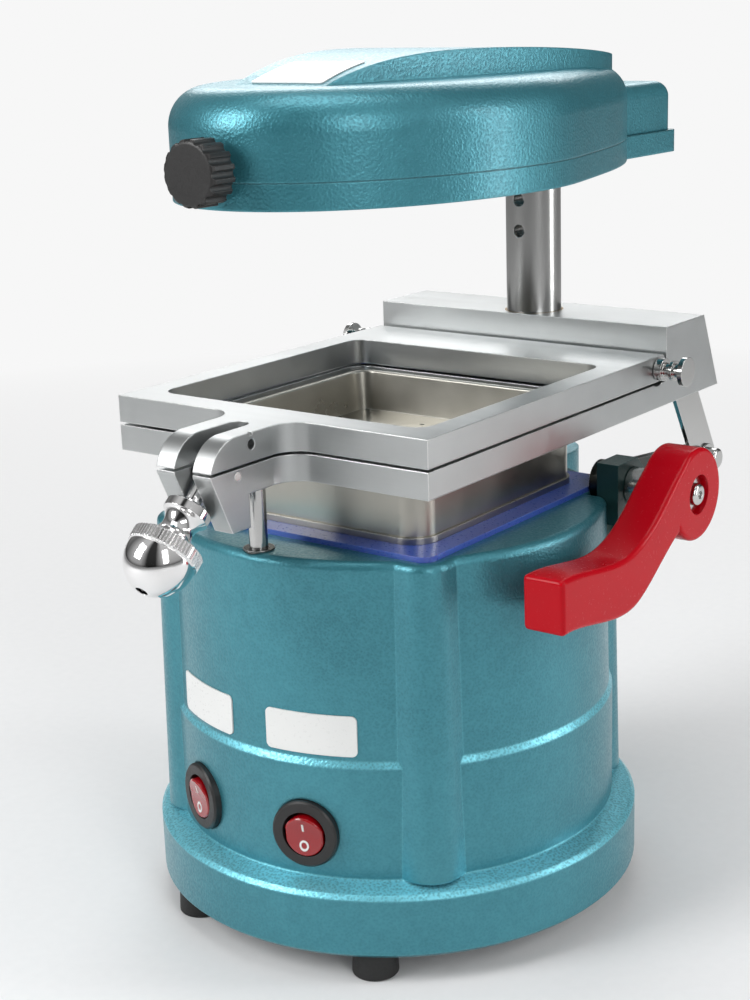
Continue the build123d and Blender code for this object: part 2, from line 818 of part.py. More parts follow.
with BuildPart() as fuse_holder:
    with BuildSketch(inlet_face):
        with Locations((fuse_offset, 0)):
            Circle(fuse_body_r)
    extrude(amount=-fuse_length)
    with BuildSketch(inlet_face):
        with Locations((fuse_offset, 0)):
            Circle(fuse_cap_r)
    extrude(amount=fuse_cap)
    cap_face = fuse_holder.faces().sort_by(Axis(inlet_face.origin, inlet_face.z_dir))[-1]
    fillet(cap_face.edges(), fuse_cap_fillet)
    with BuildSketch(inlet_face.offset(fuse_cap)):
        with Locations((fuse_offset, 0)):
            Rectangle(fuse_slot[0], fuse_slot[1])
    extrude(amount=-fuse_slot[2], mode=Mode.SUBTRACT)

# ---------------------------------------------------------------- mat and tray
with BuildPart() as silicone_mat:
    with BuildSketch(Plane.XY.offset(housing_top_z)):
        RectangleRounded(2 * mat_half, 2 * mat_half, mat_corner_r)
        Circle(stem_r + slip, mode=Mode.SUBTRACT)
    extrude(amount=mat_thickness)

with BuildPart() as tray_base:
    with BuildSketch(Plane.XY.offset(mat_top_z)):
        RectangleRounded(
            2 * (tray_half + tray_base_lip), 2 * (tray_half + tray_base_lip), tray_corner_r + tray_base_lip
        )
    extrude(amount=tray_base_thickness)
    with Locations((0, 0, mat_top_z)):
        Cylinder(stem_r, mat_top_z - stem_bottom_z, align=(Align.CENTER, Align.CENTER, Align.MAX))
    with Locations((0, 0, stem_bottom_z)):
        Cylinder(
            stem_r - stem_wall,
            2 * (mat_top_z - stem_bottom_z),
            align=(Align.CENTER, Align.CENTER, Align.MIN),
            mode=Mode.SUBTRACT,
        )

with BuildPart() as forming_tray:
    with BuildSketch(Plane.XY.offset(tray_base_top_z)):
        RectangleRounded(2 * tray_half, 2 * tray_half, tray_corner_r)
    extrude(amount=tray_rim_z - tray_base_top_z)
    # basin that holds the model
    with BuildSketch(Plane.XY.offset(tray_floor_z)):
        RectangleRounded(
            2 * (tray_half - tray_floor_inset), 2 * (tray_half - tray_floor_inset), tray_floor_corner_r
        )
    with BuildSketch(Plane.XY.offset(tray_rim_z)):
        RectangleRounded(2 * (tray_half - tray_wall), 2 * (tray_half - tray_wall), tray_corner_r - tray_wall)
    loft(mode=Mode.SUBTRACT)
    fillet(forming_tray.faces().sort_by(Axis.Z)[-1].edges(), tray_rim_fillet)
    # suction chamber under the perforated floor
    with BuildSketch(Plane.XY.offset(tray_base_top_z)):
        RectangleRounded(
            2 * (tray_half - tray_floor_inset), 2 * (tray_half - tray_floor_inset), tray_floor_corner_r
        )
    extrude(amount=tray_floor_z - tray_floor - tray_base_top_z, mode=Mode.SUBTRACT)
    rows = int(tray_hole_field_r // tray_row_spacing)
    hole_places = []
    for row in range(-rows, rows + 1):
        shift = tray_hole_spacing / 2 if row % 2 else 0
        columns = int(tray_hole_field_r // tray_hole_spacing) + 1
        for column in range(-columns, columns + 1):
            place = (column * tray_hole_spacing + shift, row * tray_row_spacing)
            if hypot(*place) <= tray_hole_field_r:
                hole_places.append(place)
    with BuildSketch(Plane.XY.offset(tray_floor_z)):
        with Locations(*hole_places):
            Circle(tray_hole_r)
    extrude(amount=-2 * tray_floor, mode=Mode.SUBTRACT)

with BuildPart() as stem_nut:
    with BuildSketch(Plane.XY.offset(housing_ceiling_z)):
        RegularPolygon(stem_nut_across / 2, 6, major_radius=False)
        Circle(stem_r + running, mode=Mode.SUBTRACT)
    extrude(amount=-stem_nut_height)

# ---------------------------------------------------------------- suction duct, fan and motor
duct_bottom_z = fan_case_top_z
with BuildPart() as suction_duct:
    with BuildSketch(Plane.XY.offset(duct_bottom_z)):
        Circle(stem_r + duct_wall)
        Circle(stem_r + spigot_fit, mode=Mode.SUBTRACT)
    extrude(amount=housing_ceiling_z - stem_nut_height - slip - duct_bottom_z)

with BuildPart() as fan_case:
    with Locations((0, 0, fan_case_bottom_z)):
        Cylinder(fan_case_r, fan_case_height, align=(Align.CENTER, Align.CENTER, Align.MIN))
    fillet(fan_case.edges().sort_by(Axis.Z)[-1], fan_rim_fillet)
    with Locations((0, 0, fan_case_top_z)):
        Cylinder(stem_r, fan_neck_height, align=(Align.CENTER, Align.CENTER, Align.MIN))
    with Locations((0, 0, fan_case_bottom_z + fan_case_wall)):
        Cylinder(
            fan_case_r - fan_case_wall,
            fan_case_height - 2 * fan_case_wall,
            align=(Align.CENTER, Align.CENTER, Align.MIN),
            mode=Mode.SUBTRACT,
        )
        Cylinder(
            stem_r - stem_wall,
            2 * fan_case_height,
            align=(Align.CENTER, Align.CENTER, Align.MIN),
            mode=Mode.SUBTRACT,
        )
    with Locations((0, 0, fan_case_bottom_z)):
        Cylinder(bearing_r, 4 * fan_case_wall, mode=Mode.SUBTRACT)
    # windows that let the air out
    for azimuth in standoff_azimuths:
        with BuildSketch(radial_plane(azimuth, 0, fan_case_bottom_z + fan_case_height / 2)):
            Rectangle(fan_window_width, fan_window_height)
        extrude(amount=2 * fan_case_r, mode=Mode.SUBTRACT)

with BuildPart() as motor_bracket:
    with BuildSketch(Plane.XY.offset(fan_case_bottom_z - bracket_ring)):
        Circle(bracket_ring_r)
        Circle(motor_r + slip, mode=Mode.SUBTRACT)
        with Locations(*[around(a, standoff_circle_r) for a in standoff_azimuths]):
            Circle(standoff_screw_r + running, mode=Mode.SUBTRACT)
    extrude(amount=bracket_ring)

standoff_top_z = fan_case_bottom_z - bracket_ring
with BuildPart() as standoffs:
    with BuildSketch(Plane.XY.offset(plate_top_z)):
        with Locations(*[around(a, standoff_circle_r) for a in standoff_azimuths]):
            Circle(standoff_r)
    extrude(amount=standoff_top_z - plate_top_z)
    with BuildSketch(Plane.XY.offset(standoff_top_z)):
        with Locations(*[around(a, standoff_circle_r) for a in standoff_azimuths]):
            Circle(standoff_screw_r)
    extrude(amount=-standoff_screw_length, mode=Mode.SUBTRACT)

with BuildPart() as motor_can:
    with Locations((0, 0, motor_bottom_z)):
        Cylinder(motor_r, fan_case_bottom_z - motor_bottom_z, align=(Align.CENTER, Align.CENTER, Align.MIN))
    with Locations((0, 0, motor_bottom_z + motor_cap)):
        Cylinder(
            motor_r - motor_wall,
            fan_case_bottom_z - motor_bottom_z - 2 * motor_cap,
            align=(Align.CENTER, Align.CENTER, Align.MIN),
            mode=Mode.SUBTRACT,
        )
    with Locations((0, 0, motor_bottom_z + motor_cap), (0, 0, fan_case_bottom_z - motor_cap - bearing_width)):
        Cylinder(bearing_r + 2, bearing_width, align=(Align.CENTER, Align.CENTER, Align.MIN))
    with Locations((0, 0, motor_bottom_z + motor_cap)):
        Cylinder(
            bearing_r,
            fan_case_bottom_z - motor_bottom_z,
            align=(Align.CENTER, Align.CENTER, Align.MIN),
            mode=Mode.SUBTRACT,
        )

with BuildPart() as stator:
    with BuildSketch(Plane.XY.offset(stator_z)):
        Circle(motor_r - motor_wall)
        Circle(stator_inner_r, mode=Mode.SUBTRACT)
    extrude(amount=stator_height)

bearing_zs = (motor_bottom_z + motor_cap, fan_case_bottom_z - motor_cap - bearing_width)
with BuildPart() as motor_bearings:
    with Locations(*[(0, 0, z) for z in bearing_zs]):
        Cylinder(bearing_r, bearing_width, align=(Align.CENTER, Align.CENTER, Align.MIN))
        Cylinder(shaft_r + running, 3 * bearing_width, mode=Mode.SUBTRACT)

impeller_z = fan_case_bottom_z + fan_case_wall + impeller_gap
impeller_top_z = impeller_z + 2 * impeller_disc + blade_height
with BuildPart() as motor_shaft:
    with Locations((0, 0, motor_bottom_z + motor_cap + slip)):
        Cylinder(
            shaft_r,
            impeller_top_z - motor_bottom_z - motor_cap,
            align=(Align.CENTER, Align.CENTER, Align.MIN),
        )

with BuildPart() as motor_rotor:
    with BuildSketch(Plane.XY.offset(stator_z)):
        Circle(stator_inner_r - rotor_gap)
        Circle(shaft_r, mode=Mode.SUBTRACT)
    extrude(amount=stator_height)

with BuildPart() as impeller:
    with BuildSketch(Plane.XY.offset(impeller_z)):
        Circle(impeller_r)
    extrude(amount=impeller_disc)
    with BuildSketch(Plane.XY.offset(impeller_z + impeller_disc)):
        Circle(hub_r)
        with PolarLocations(0, blade_count):
            with Locations(Location((blade_inner_r, 0, 0), (0, 0, blade_lean))):
                Rectangle(
                    impeller_r - blade_inner_r - 4, blade_thickness, align=(Align.MIN, Align.CENTER)
                )
    extrude(amount=blade_height)
    with BuildSketch(Plane.XY.offset(impeller_z + impeller_disc + blade_height)):
        Circle(impeller_r)
        Circle(eye_r, mode=Mode.SUBTRACT)
    extrude(amount=impeller_disc)
    with BuildSketch(Plane.XY.offset(impeller_z)):
        Circle(shaft_r)
    extrude(amount=2 * blade_height, mode=Mode.SUBTRACT)

with BuildPart() as motor_screws:
    with BuildSketch(Plane.XY.offset(fan_case_bottom_z)):
        with Locations(*[around(a, standoff_circle_r) for a in standoff_azimuths]):
            Circle(standoff_screw_r - running)
    extrude(amount=-standoff_screw_length)

# ---------------------------------------------------------------- frames
nose_tip_y = bolt_pivot_y - sqrt(nose_r**2 - (upper_bottom_z - bolt_pivot_z) ** 2)
root_y = frame_front_y - nose_root_r
root_x = nose_half + nose_root_r

with BuildPart() as frame_blank:
    # plan of both frames, tall enough for either
    with BuildSketch(Plane.XY.offset(lower_bottom_z)):
        with Locations((0, (frame_front_y + beam_front_y) / 2)):
            Rectangle(2 * frame_half_x, beam_front_y - frame_front_y)
        with Locations((0, root_y + nose_root_r / 2)):
            Rectangle(2 * root_x, nose_root_r)
        with Locations((-root_x, root_y), (root_x, root_y)):
            Circle(nose_root_r, mode=Mode.SUBTRACT)
        with Locations((0, root_y)):
            Rectangle(2 * nose_half, root_y - nose_tip_y, align=(Align.CENTER, Align.MAX))
        RectangleRounded(2 * frame_window_half, 2 * frame_window_half, frame_window_r, mode=Mode.SUBTRACT)
        with Locations((0, slot_end_y)):
            Rectangle(2 * slot_half, 2 * nose_r + root_x, align=(Align.CENTER, Align.MAX), mode=Mode.SUBTRACT)
            Circle(slot_half, mode=Mode.SUBTRACT)
    extrude(amount=beam_top_z - lower_bottom_z)

with BuildPart() as upper_frame:
    add(frame_blank.part)
    # side view of the upper frame: round nose, flat top, rounded hinge end
    top_back_y = hinge_y + sqrt(hinge_round_r**2 - (upper_top_z - hinge_z) ** 2)
    low_back_y = hinge_y + sqrt(hinge_round_r**2 - (hinge_z - upper_bottom_z) ** 2)
    with BuildSketch(Plane.YZ.offset(-frame_half_x)):
        with BuildLine():
            Line((nose_tip_y, upper_bottom_z), (low_back_y, upper_bottom_z))
            ThreePointArc(
                (low_back_y, upper_bottom_z), (hinge_y + hinge_round_r, hinge_z), (top_back_y, upper_top_z)
            )
            Line((top_back_y, upper_top_z), (bolt_pivot_y, upper_top_z))
            RadiusArc((bolt_pivot_y, upper_top_z), (nose_tip_y, upper_bottom_z), -nose_r)
        make_face()
    extrude(amount=2 * frame_half_x, mode=Mode.INTERSECT)
    # pockets that go over the hinge lugs, open below and behind
    with BuildSketch(Plane.XY.offset(hinge_z + hinge_lug_r + slip)):
        pocket_y = hinge_y - hinge_lug_r - slip
        with Locations((-hinge_lug_x, pocket_y), (hinge_lug_x, pocket_y)):
            Rectangle(2 * (hinge_lug_half + slip), 6 * hinge_round_r, align=(Align.CENTER, Align.MIN))
    extrude(amount=-2 * upper_thickness, mode=Mode.SUBTRACT)
    with BuildSketch(Plane.YZ):
        with Locations((hinge_y, hinge_z)):
            Circle(hinge_pin_r + running)
    extrude(amount=2 * frame_half_x, both=True, mode=Mode.SUBTRACT)
    # bar between the pockets has no bore
    with BuildSketch(Plane.YZ):
        with Locations((hinge_y, hinge_z)):
            Circle(hinge_pin_r + 1)
    extrude(amount=hinge_lug_x - hinge_lug_half - slip - 2, both=True)
    # blind hole and notch in the right side of the nose
    with BuildSketch(Plane.YZ.offset(nose_half)):
        with Locations((nose_hole_y, (upper_bottom_z + upper_top_z) / 2 + 1)):
            Circle(nose_hole_r)
    extrude(amount=-nose_hole_depth, mode=Mode.SUBTRACT)
    with Locations((nose_half, nose_hole_y, upper_top_z)):
        Box(2 * nose_notch, 1.6 * nose_notch, 2 * nose_notch, mode=Mode.SUBTRACT)

with BuildPart() as lower_frame:
    add(frame_blank.part)
    with BuildSketch(Plane.XY.offset(lower_top_z)):
        with Locations((0, beam_front_y)):
            Rectangle(4 * frame_half_x, 4 * frame_half_x, align=(Align.CENTER, Align.MAX))
    extrude(amount=beam_top_z, mode=Mode.SUBTRACT)
    # deep cheeks under the nose
    cheek_front_y = nose_tip_y
    with BuildSketch(Plane.YZ.offset(-nose_half)):
        Polygon(
            (cheek_front_y, lower_top_z),
            (cheek_front_y, lower_top_z - cheek_lip),
            (cheek_toe_y, cheek_bottom_z),
            (cheek_back_y, cheek_bottom_z),
            (cheek_back_y, lower_top_z),
            align=None,
        )
    extrude(amount=2 * nose_half)
    with BuildSketch(Plane.XY.offset(cheek_bottom_z)):
        with Locations((0, slot_end_y)):
            Rectangle(2 * slot_half, 4 * nose_r, align=(Align.CENTER, Align.MAX))
            Circle(slot_half)
    extrude(amount=lower_top_z - cheek_bottom_z, mode=Mode.SUBTRACT)
    # slanted front of the nose above the toes
    with BuildSketch(Plane.YZ.offset(-nose_half)):
        Polygon(
            (cheek_front_y - nose_r, lower_top_z - cheek_lip),
            (cheek_front_y, lower_top_z - cheek_lip),
            (cheek_toe_y, cheek_bottom_z),
            (cheek_toe_y - 2 * nose_r, cheek_bottom_z),
            align=None,
        )
    extrude(amount=2 * nose_half, mode=Mode.SUBTRACT)
    # cross beam, open underneath
    with BuildSketch(Plane.YZ.offset(-frame_half_x)):
        Polygon(
            (beam_front_y, lower_bottom_z),
            (beam_front_y, beam_top_z),
            (beam_top_rear_y, beam_top_z),
            (beam_rear_y, lower_bottom_z),
            align=None,
        )
    extrude(amount=2 * frame_half_x)
    lean = (beam_rear_y - beam_top_rear_y) / (beam_top_z - lower_bottom_z)
    with BuildSketch(Plane.YZ.offset(-cheek_inner_x)):
        Polygon(
            (beam_front_y + beam_wall, lower_bottom_z),
            (beam_front_y + beam_wall, beam_ceiling_z),
            (beam_top_rear_y - beam_wall + lean * beam_wall, beam_ceiling_z),
            (beam_rear_y - beam_wall, lower_bottom_z),
            align=None,
        )
    extrude(amount=2 * cheek_inner_x, mode=Mode.SUBTRACT)
    with BuildSketch(Plane.XY.offset(lower_bottom_z)):
        with Locations((0, post_y)):
            Circle(beam_boss_r)
        with Locations((0, beam_front_y)):
            Rectangle(4 * beam_boss_r, 2 * beam_boss_r, align=(Align.CENTER, Align.MAX), mode=Mode.SUBTRACT)
    extrude(amount=beam_ceiling_z - lower_bottom_z)
    # rib that holds the upper pin of the link
    with BuildSketch(Plane.XY.offset(lower_bottom_z)):
        with Locations(((link_rib_inner_x + link_inner_x - slip) / 2, beam_front_y)):
            Rectangle(
                link_inner_x - slip - link_rib_inner_x,
                link_top_y + link_rib_half - beam_front_y,
                align=(Align.CENTER, Align.MIN),
            )
    extrude(amount=beam_ceiling_z - lower_bottom_z)
    with BuildSketch(Plane.YZ.offset(link_rib_inner_x)):
        with Locations((link_top_y, link_top_z)):
            Circle(link_pin_r)
    extrude(amount=cheek_inner_x - link_rib_inner_x, mode=Mode.SUBTRACT)
    # hinge lugs in the relief that the rounded end of the upper frame turns in
    with BuildSketch(Plane.YZ.offset(-frame_half_x)):
        with Locations((hinge_y, hinge_z)):
            Circle(hinge_round_r + slip)
    extrude(amount=2 * frame_half_x, mode=Mode.SUBTRACT)
    for side in (-1, 1):
        with BuildSketch(Plane.YZ.offset(side * hinge_lug_x)):
            with Locations((hinge_y, hinge_z)):
                Circle(hinge_lug_r)
                Rectangle(2 * hinge_lug_r, hinge_z - lower_bottom_z - 2, align=(Align.CENTER, Align.MAX))
                Circle(hinge_pin_r, mode=Mode.SUBTRACT)
        extrude(amount=hinge_lug_half, both=True)
    # sliding bore for the post, seats for the bushes, guide rod and bolt pin
    with BuildSketch(Plane.XY.offset(lower_bottom_z)):
        with Locations((0, post_y)):
            Circle(post_r + slip)
    extrude(amount=beam_top_z, mode=Mode.SUBTRACT)
    with Locations((0, post_y, lower_bottom_z)):
        Cylinder(
            post_r + post_bush_wall,
            post_bush_length,
            align=(Align.CENTER, Align.CENTER, Align.MIN),
            mode=Mode.SUBTRACT,
        )
    with Locations((0, post_y, beam_top_z)):
        Cylinder(
            post_r + post_bush_wall,
            post_bush_length,
            align=(Align.CENTER, Align.CENTER, Align.MAX),
            mode=Mode.SUBTRACT,
        )
    with Locations((0, rod_y, lower_bottom_z)):
        Cylinder(rod_r, rod_seat_depth, align=(Align.CENTER, Align.CENTER, Align.MIN), mode=Mode.SUBTRACT)
    with BuildSketch(Plane.YZ):
        with Locations((bolt_pivot_y, bolt_pivot_z)):
            Circle(bolt_pin_r)
    extrude(amount=2 * nose_half, both=True, mode=Mode.SUBTRACT)

with BuildPart() as post_bushes:
    with Locations((0, post_y, lower_bottom_z)):
        Cylinder(post_r + post_bush_wall, post_bush_length, align=(Align.CENTER, Align.CENTER, Align.MIN))
    with Locations((0, post_y, beam_top_z)):
        Cylinder(post_r + post_bush_wall, post_bush_length, align=(Align.CENTER, Align.CENTER, Align.MAX))
    with Locations((0, post_y, beam_top_z)):
        Cylinder(post_r + running, 2 * beam_top_z, mode=Mode.SUBTRACT)

with BuildPart() as hinge_pins:
    for side in (-1, 1):
        pin_stack = (
            (hinge_pin_r, hinge_lug_x - hinge_lug_half, frame_half_x + hinge_reach - hinge_head),
            (hinge_collar_r, frame_half_x + slip, frame_half_x + slip + hinge_collar),
            (hinge_neck_r, frame_half_x + hinge_collar, frame_half_x + hinge_reach - hinge_head),
            (hinge_ring_r, frame_half_x + hinge_ring_out, frame_half_x + hinge_ring_out + hinge_ring),
            (hinge_head_r, frame_half_x + hinge_reach - hinge_head, frame_half_x + hinge_reach),
        )
        for radius, start, end in pin_stack:
            with BuildSketch(Plane.YZ.offset(side * start)):
                with Locations((hinge_y, hinge_z)):
                    Circle(radius)
            extrude(amount=side * (end - start))

with BuildPart() as link_top_pin:
    with BuildSketch(Plane.YZ.offset(link_rib_inner_x)):
        with Locations((link_top_y, link_top_z)):
            Circle(link_pin_r)
    extrude(amount=cheek_inner_x - link_rib_inner_x)

# ---------------------------------------------------------------- swing bolt and clamp knob
with BuildPart() as bolt_pin:
    with BuildSketch(Plane.YZ):
        with Locations((bolt_pivot_y, bolt_pivot_z)):
            Circle(bolt_pin_r)
    extrude(amount=nose_half, both=True)

with BuildPart() as swing_bolt:
    with BuildSketch(Plane.YZ):
        with Locations((bolt_pivot_y, bolt_pivot_z)):
            Circle(bolt_eye_r)
    extrude(amount=bolt_eye_half, both=True)
    fillet(swing_bolt.edges().filter_by(GeomType.CIRCLE), bolt_eye_fillet)
    with BuildSketch(Plane(origin=bolt_pivot, x_dir=(1, 0, 0), z_dir=bolt_dir)):
        Circle(bolt_r)
    extrude(amount=bolt_length)
    with BuildSketch(Plane.YZ):
        with Locations((bolt_pivot_y, bolt_pivot_z)):
            Circle(bolt_pin_r + running)
    extrude(amount=2 * bolt_eye_half, both=True, mode=Mode.SUBTRACT)

knob_plane = Plane(origin=bolt_pivot, x_dir=(1, 0, 0), z_dir=Vector(1, 0, 0).cross(bolt_dir))
knob_axis = Axis(bolt_pivot, bolt_dir)
with BuildPart() as clamp_knob:
    with BuildSketch(knob_plane):
        with BuildLine():
            Polyline(
                (0, knob_collar_start),
                (knob_collar_r - 0.6, knob_collar_start),
                (knob_collar_r, knob_collar_start + 0.6),
                (knob_collar_r, knob_collar_end - 0.6),
                (knob_collar_r - 0.6, knob_collar_end),
            )
            ThreePointArc(
                (knob_collar_r - 0.6, knob_collar_end),
                (knob_waist_r, (knob_collar_end + knob_waist_end) / 2 + 0.8),
                (knob_collar_r + 0.4, knob_waist_end + 0.9),
            )
            Polyline(
                (knob_collar_r + 0.4, knob_waist_end + 0.9),
                (knob_flange_r - 1.2, knob_flange_start),
                (knob_flange_r, knob_flange_start + 0.8),
                (knob_flange_r, knob_flange_end - 0.8),
                (knob_flange_r - 0.8, knob_flange_end),
                (knob_dome_r - 0.3, knob_flange_end),
            )
            ThreePointArc(
                (knob_dome_r - 0.3, knob_flange_end),
                (knob_dome_r * 0.76, knob_flange_end + (knob_tip - knob_flange_end) * 0.66),
                (knob_tip_hole_r + 1, knob_tip - 0.2),
            )
            Polyline((knob_tip_hole_r + 1, knob_tip - 0.2), (0, knob_tip), (0, knob_collar_start))
        make_face()
    revolve(axis=knob_axis)
    with BuildSketch(Plane(origin=bolt_pivot, x_dir=(1, 0, 0), z_dir=bolt_dir)):
        Circle(bolt_r + running)
    extrude(amount=knob_bore_end, mode=Mode.SUBTRACT)
    with BuildSketch(Plane(origin=bolt_pivot + bolt_dir * (knob_tip + 1), x_dir=(1, 0, 0), z_dir=bolt_dir)):
        Circle(knob_tip_hole_r)
    extrude(amount=-knob_tip_hole_depth - 1, mode=Mode.SUBTRACT)
    # straight knurl on the flange
    knurl_start = bolt_pivot + bolt_dir * knob_flange_start
    with BuildSketch(Plane(origin=knurl_start, x_dir=(1, 0, 0), z_dir=bolt_dir)):
        with PolarLocations(knob_flange_r + knurl_r * 0.3, knurl_count):
            Circle(knurl_r)
    extrude(amount=knob_flange_end - knob_flange_start, mode=Mode.SUBTRACT)

# ---------------------------------------------------------------- lever, bracket and link
with BuildPart() as pivot_bracket:
    with BuildSketch(Plane.YZ.offset(bracket_inner_x)):
        with BuildLine():
            Polyline(
                (bracket_front_y, bracket_bottom_z),
                (bracket_rear_y, bracket_bottom_z),
                (bracket_rear_y, bracket_top_z - bracket_corner),
                (bracket_rear_y - bracket_corner, bracket_top_z),
                (bracket_front_y, bracket_top_z),
                close=True,
            )
        make_face()
    extrude(amount=bracket_flange_x - bracket_inner_x)
    with BuildSketch(Plane.YZ.offset(bracket_inner_x)):
        with BuildLine():
            Polyline(
                (bracket_front_y, bracket_flange_top_z),
                (bracket_rear_y, bracket_flange_top_z),
                (bracket_rear_y, bracket_top_z - bracket_corner),
                (bracket_rear_y - bracket_corner, bracket_top_z),
                (bracket_front_y, bracket_top_z),
                close=True,
            )
        make_face()
    extrude(amount=bracket_outer_x - bracket_inner_x)
    with BuildSketch(Plane.YZ.offset(bracket_inner_x)):
        with Locations((lever_y, lever_z)):
            Circle(lever_shaft_r + running)
    extrude(amount=bracket_outer_x - bracket_inner_x, mode=Mode.SUBTRACT)
    with BuildSketch(Plane.YZ.offset(bracket_inner_x)):
        with Locations(*[((bracket_front_y + bracket_rear_y) / 2, z) for z in bracket_bolt_zs]):
            Circle(bracket_bolt_r + running)
    extrude(amount=bracket_flange_x - bracket_inner_x, mode=Mode.SUBTRACT)

with BuildPart() as bracket_bolts:
    for z in bracket_bolt_zs:
        with BuildSketch(Plane.YZ.offset(bracket_flange_x)):
            with Locations(((bracket_front_y + bracket_rear_y) / 2, z)):
                Circle(bracket_bolt_head_r)
        extrude(amount=bracket_bolt_head)
        with BuildSketch(Plane.YZ.offset(bracket_flange_x)):
            with Locations(((bracket_front_y + bracket_rear_y) / 2, z)):
                Circle(bracket_bolt_r - running)
        extrude(amount=-bracket_bolt_length)
        with BuildSketch(Plane.YZ.offset(bracket_flange_x + bracket_bolt_head)):
            with Locations(((bracket_front_y + bracket_rear_y) / 2, z)):
                RegularPolygon(bracket_bolt_socket_r, 6)
        extrude(amount=-bracket_bolt_head / 2, mode=Mode.SUBTRACT)

shaft_end_x = handle_inner_x + handle_bore_depth
with BuildPart() as lever_shaft:
    with BuildSketch(Plane.YZ.offset(arm_inner_x)):
        with Locations((lever_y, lever_z)):
            Circle(lever_shaft_r)
    extrude(amount=shaft_end_x - arm_inner_x)
    with BuildSketch(Plane.YZ.offset(bracket_outer_x + slip)):
        with Locations((lever_y, lever_z)):
            Circle(shoulder_r)
    extrude(amount=handle_inner_x - bracket_outer_x - slip)
    with BuildSketch(Plane.YZ.offset(shaft_end_x)):
        with Locations((lever_y, lever_z)):
            Circle(handle_screw_r)
    extrude(amount=-handle_screw_length, mode=Mode.SUBTRACT)

arm_angle = degrees(atan2(link_pin_z - lever_z, link_pin_y - lever_y))
arm_length = hypot(link_pin_z - lever_z, link_pin_y - lever_y)
with BuildPart() as crank_arm:
    with BuildSketch(Plane.YZ.offset(arm_inner_x)):
        with Locations(((lever_y + link_pin_y) / 2, (lever_z + link_pin_z) / 2)):
            SlotCenterToCenter(arm_length, 2 * arm_half_width, rotation=arm_angle)
        with Locations((lever_y, lever_z)):
            Circle(arm_boss_r)
    extrude(amount=arm_thickness)
    with BuildSketch(Plane.YZ.offset(arm_inner_x)):
        with Locations((lever_y, lever_z)):
            Circle(arm_boss_r)
    extrude(amount=arm_boss_x - arm_inner_x)
    with BuildSketch(Plane.YZ.offset(arm_inner_x)):
        with Locations((lever_y, lever_z)):
            Circle(lever_shaft_r)
        with Locations((link_pin_y, link_pin_z)):
            Circle(link_pin_r)
    extrude(amount=2 * arm_thickness, mode=Mode.SUBTRACT)

link_angle = degrees(atan2(link_top_z - link_pin_z, link_top_y - link_pin_y))
with BuildPart() as link:
    with BuildSketch(Plane.YZ.offset(link_inner_x)):
        with Locations(((link_top_y + link_pin_y) / 2, (link_top_z + link_pin_z) / 2)):
            SlotCenterToCenter(link_span, 2 * link_r, rotation=link_angle)
        with Locations((link_pin_y, link_pin_z)):
            Circle(link_pin_r + running, mode=Mode.SUBTRACT)
        with Locations((link_top_y, link_top_z)):
            Circle(link_pin_r + link_top_play, mode=Mode.SUBTRACT)
    extrude(amount=link_thickness)

with BuildPart() as link_pin:
    with BuildSketch(Plane.YZ.offset(arm_inner_x)):
        with Locations((link_pin_y, link_pin_z)):
            Circle(link_pin_r)
    extrude(amount=link_outer_x + slip + link_washer - arm_inner_x)
    with BuildSketch(Plane.YZ.offset(link_outer_x + slip + link_washer)):
        with Locations((link_pin_y, link_pin_z)):
            Circle(link_head_r)
    extrude(amount=link_head)
    fillet(link_pin.faces().sort_by(Axis.X)[-1].edges(), link_head_fillet)

with BuildPart() as link_washer_ring:
    with BuildSketch(Plane.YZ.offset(link_outer_x + slip)):
        with Locations((link_pin_y, link_pin_z)):
            Circle(link_washer_r)
            Circle(link_pin_r, mode=Mode.SUBTRACT)
    extrude(amount=link_washer)

with BuildPart() as handle:
    with BuildSketch(Plane.YZ.offset(handle_inner_x)):
        with BuildLine():
            Spline(*grip_top)
            Line(grip_top[-1], grip_bottom[0])
            Spline(*grip_bottom)
            Line(grip_bottom[-1], grip_top[0])
        make_face()
        with Locations((lever_y, lever_z)):
            Circle(handle_hub_r)
    extrude(amount=handle_outer_x - handle_inner_x)
    fillet(handle.faces().sort_by(Axis.Y)[0].edges().filter_by(Axis.X), handle_edge)
    fillet(handle.faces().filter_by(Axis.X).edges(), handle_edge)
    with BuildSketch(Plane.YZ.offset(handle_outer_x - handle_recess_depth)):
        with Locations((lever_y, lever_z)):
            Circle(handle_recess_r)
    extrude(amount=2 * handle_recess_depth, mode=Mode.SUBTRACT)
    with BuildSketch(Plane.YZ.offset(handle_inner_x)):
        with Locations((lever_y, lever_z)):
            Circle(lever_shaft_r)
    extrude(amount=handle_bore_depth, mode=Mode.SUBTRACT)
    with BuildSketch(Plane.YZ.offset(handle_inner_x)):
        with Locations((lever_y, lever_z)):
            Circle(handle_screw_r)
    extrude(amount=2 * handle_bore_depth, mode=Mode.SUBTRACT)

with BuildPart() as handle_washer_ring:
    with BuildSketch(Plane.YZ.offset(handle_outer_x - handle_recess_depth)):
        with Locations((lever_y, lever_z)):
            Circle(handle_washer_r)
            Circle(handle_screw_r, mode=Mode.SUBTRACT)
    extrude(amount=handle_washer)

screw_seat_x = handle_outer_x - handle_recess_depth + handle_washer
with BuildPart() as handle_screw:
    with BuildSketch(Plane.YZ.offset(screw_seat_x)):
        with Locations((lever_y, lever_z)):
            Circle(handle_screw_head_r)
    extrude(amount=handle_screw_head)
    fillet(handle_screw.faces().sort_by(Axis.X)[-1].edges(), handle_screw_fillet)
    with BuildSketch(Plane.YZ.offset(screw_seat_x + handle_screw_head)):
        with Locations((lever_y, lever_z)):
            RegularPolygon(handle_screw_socket_r, 6)
    extrude(amount=-handle_screw_head / 2, mode=Mode.SUBTRACT)
    with BuildSketch(Plane.YZ.offset(screw_seat_x)):
        with Locations((lever_y, lever_z)):
            Circle(handle_screw_r - running)
    extrude(amount=-handle_screw_length, mode=Mode.ADD)

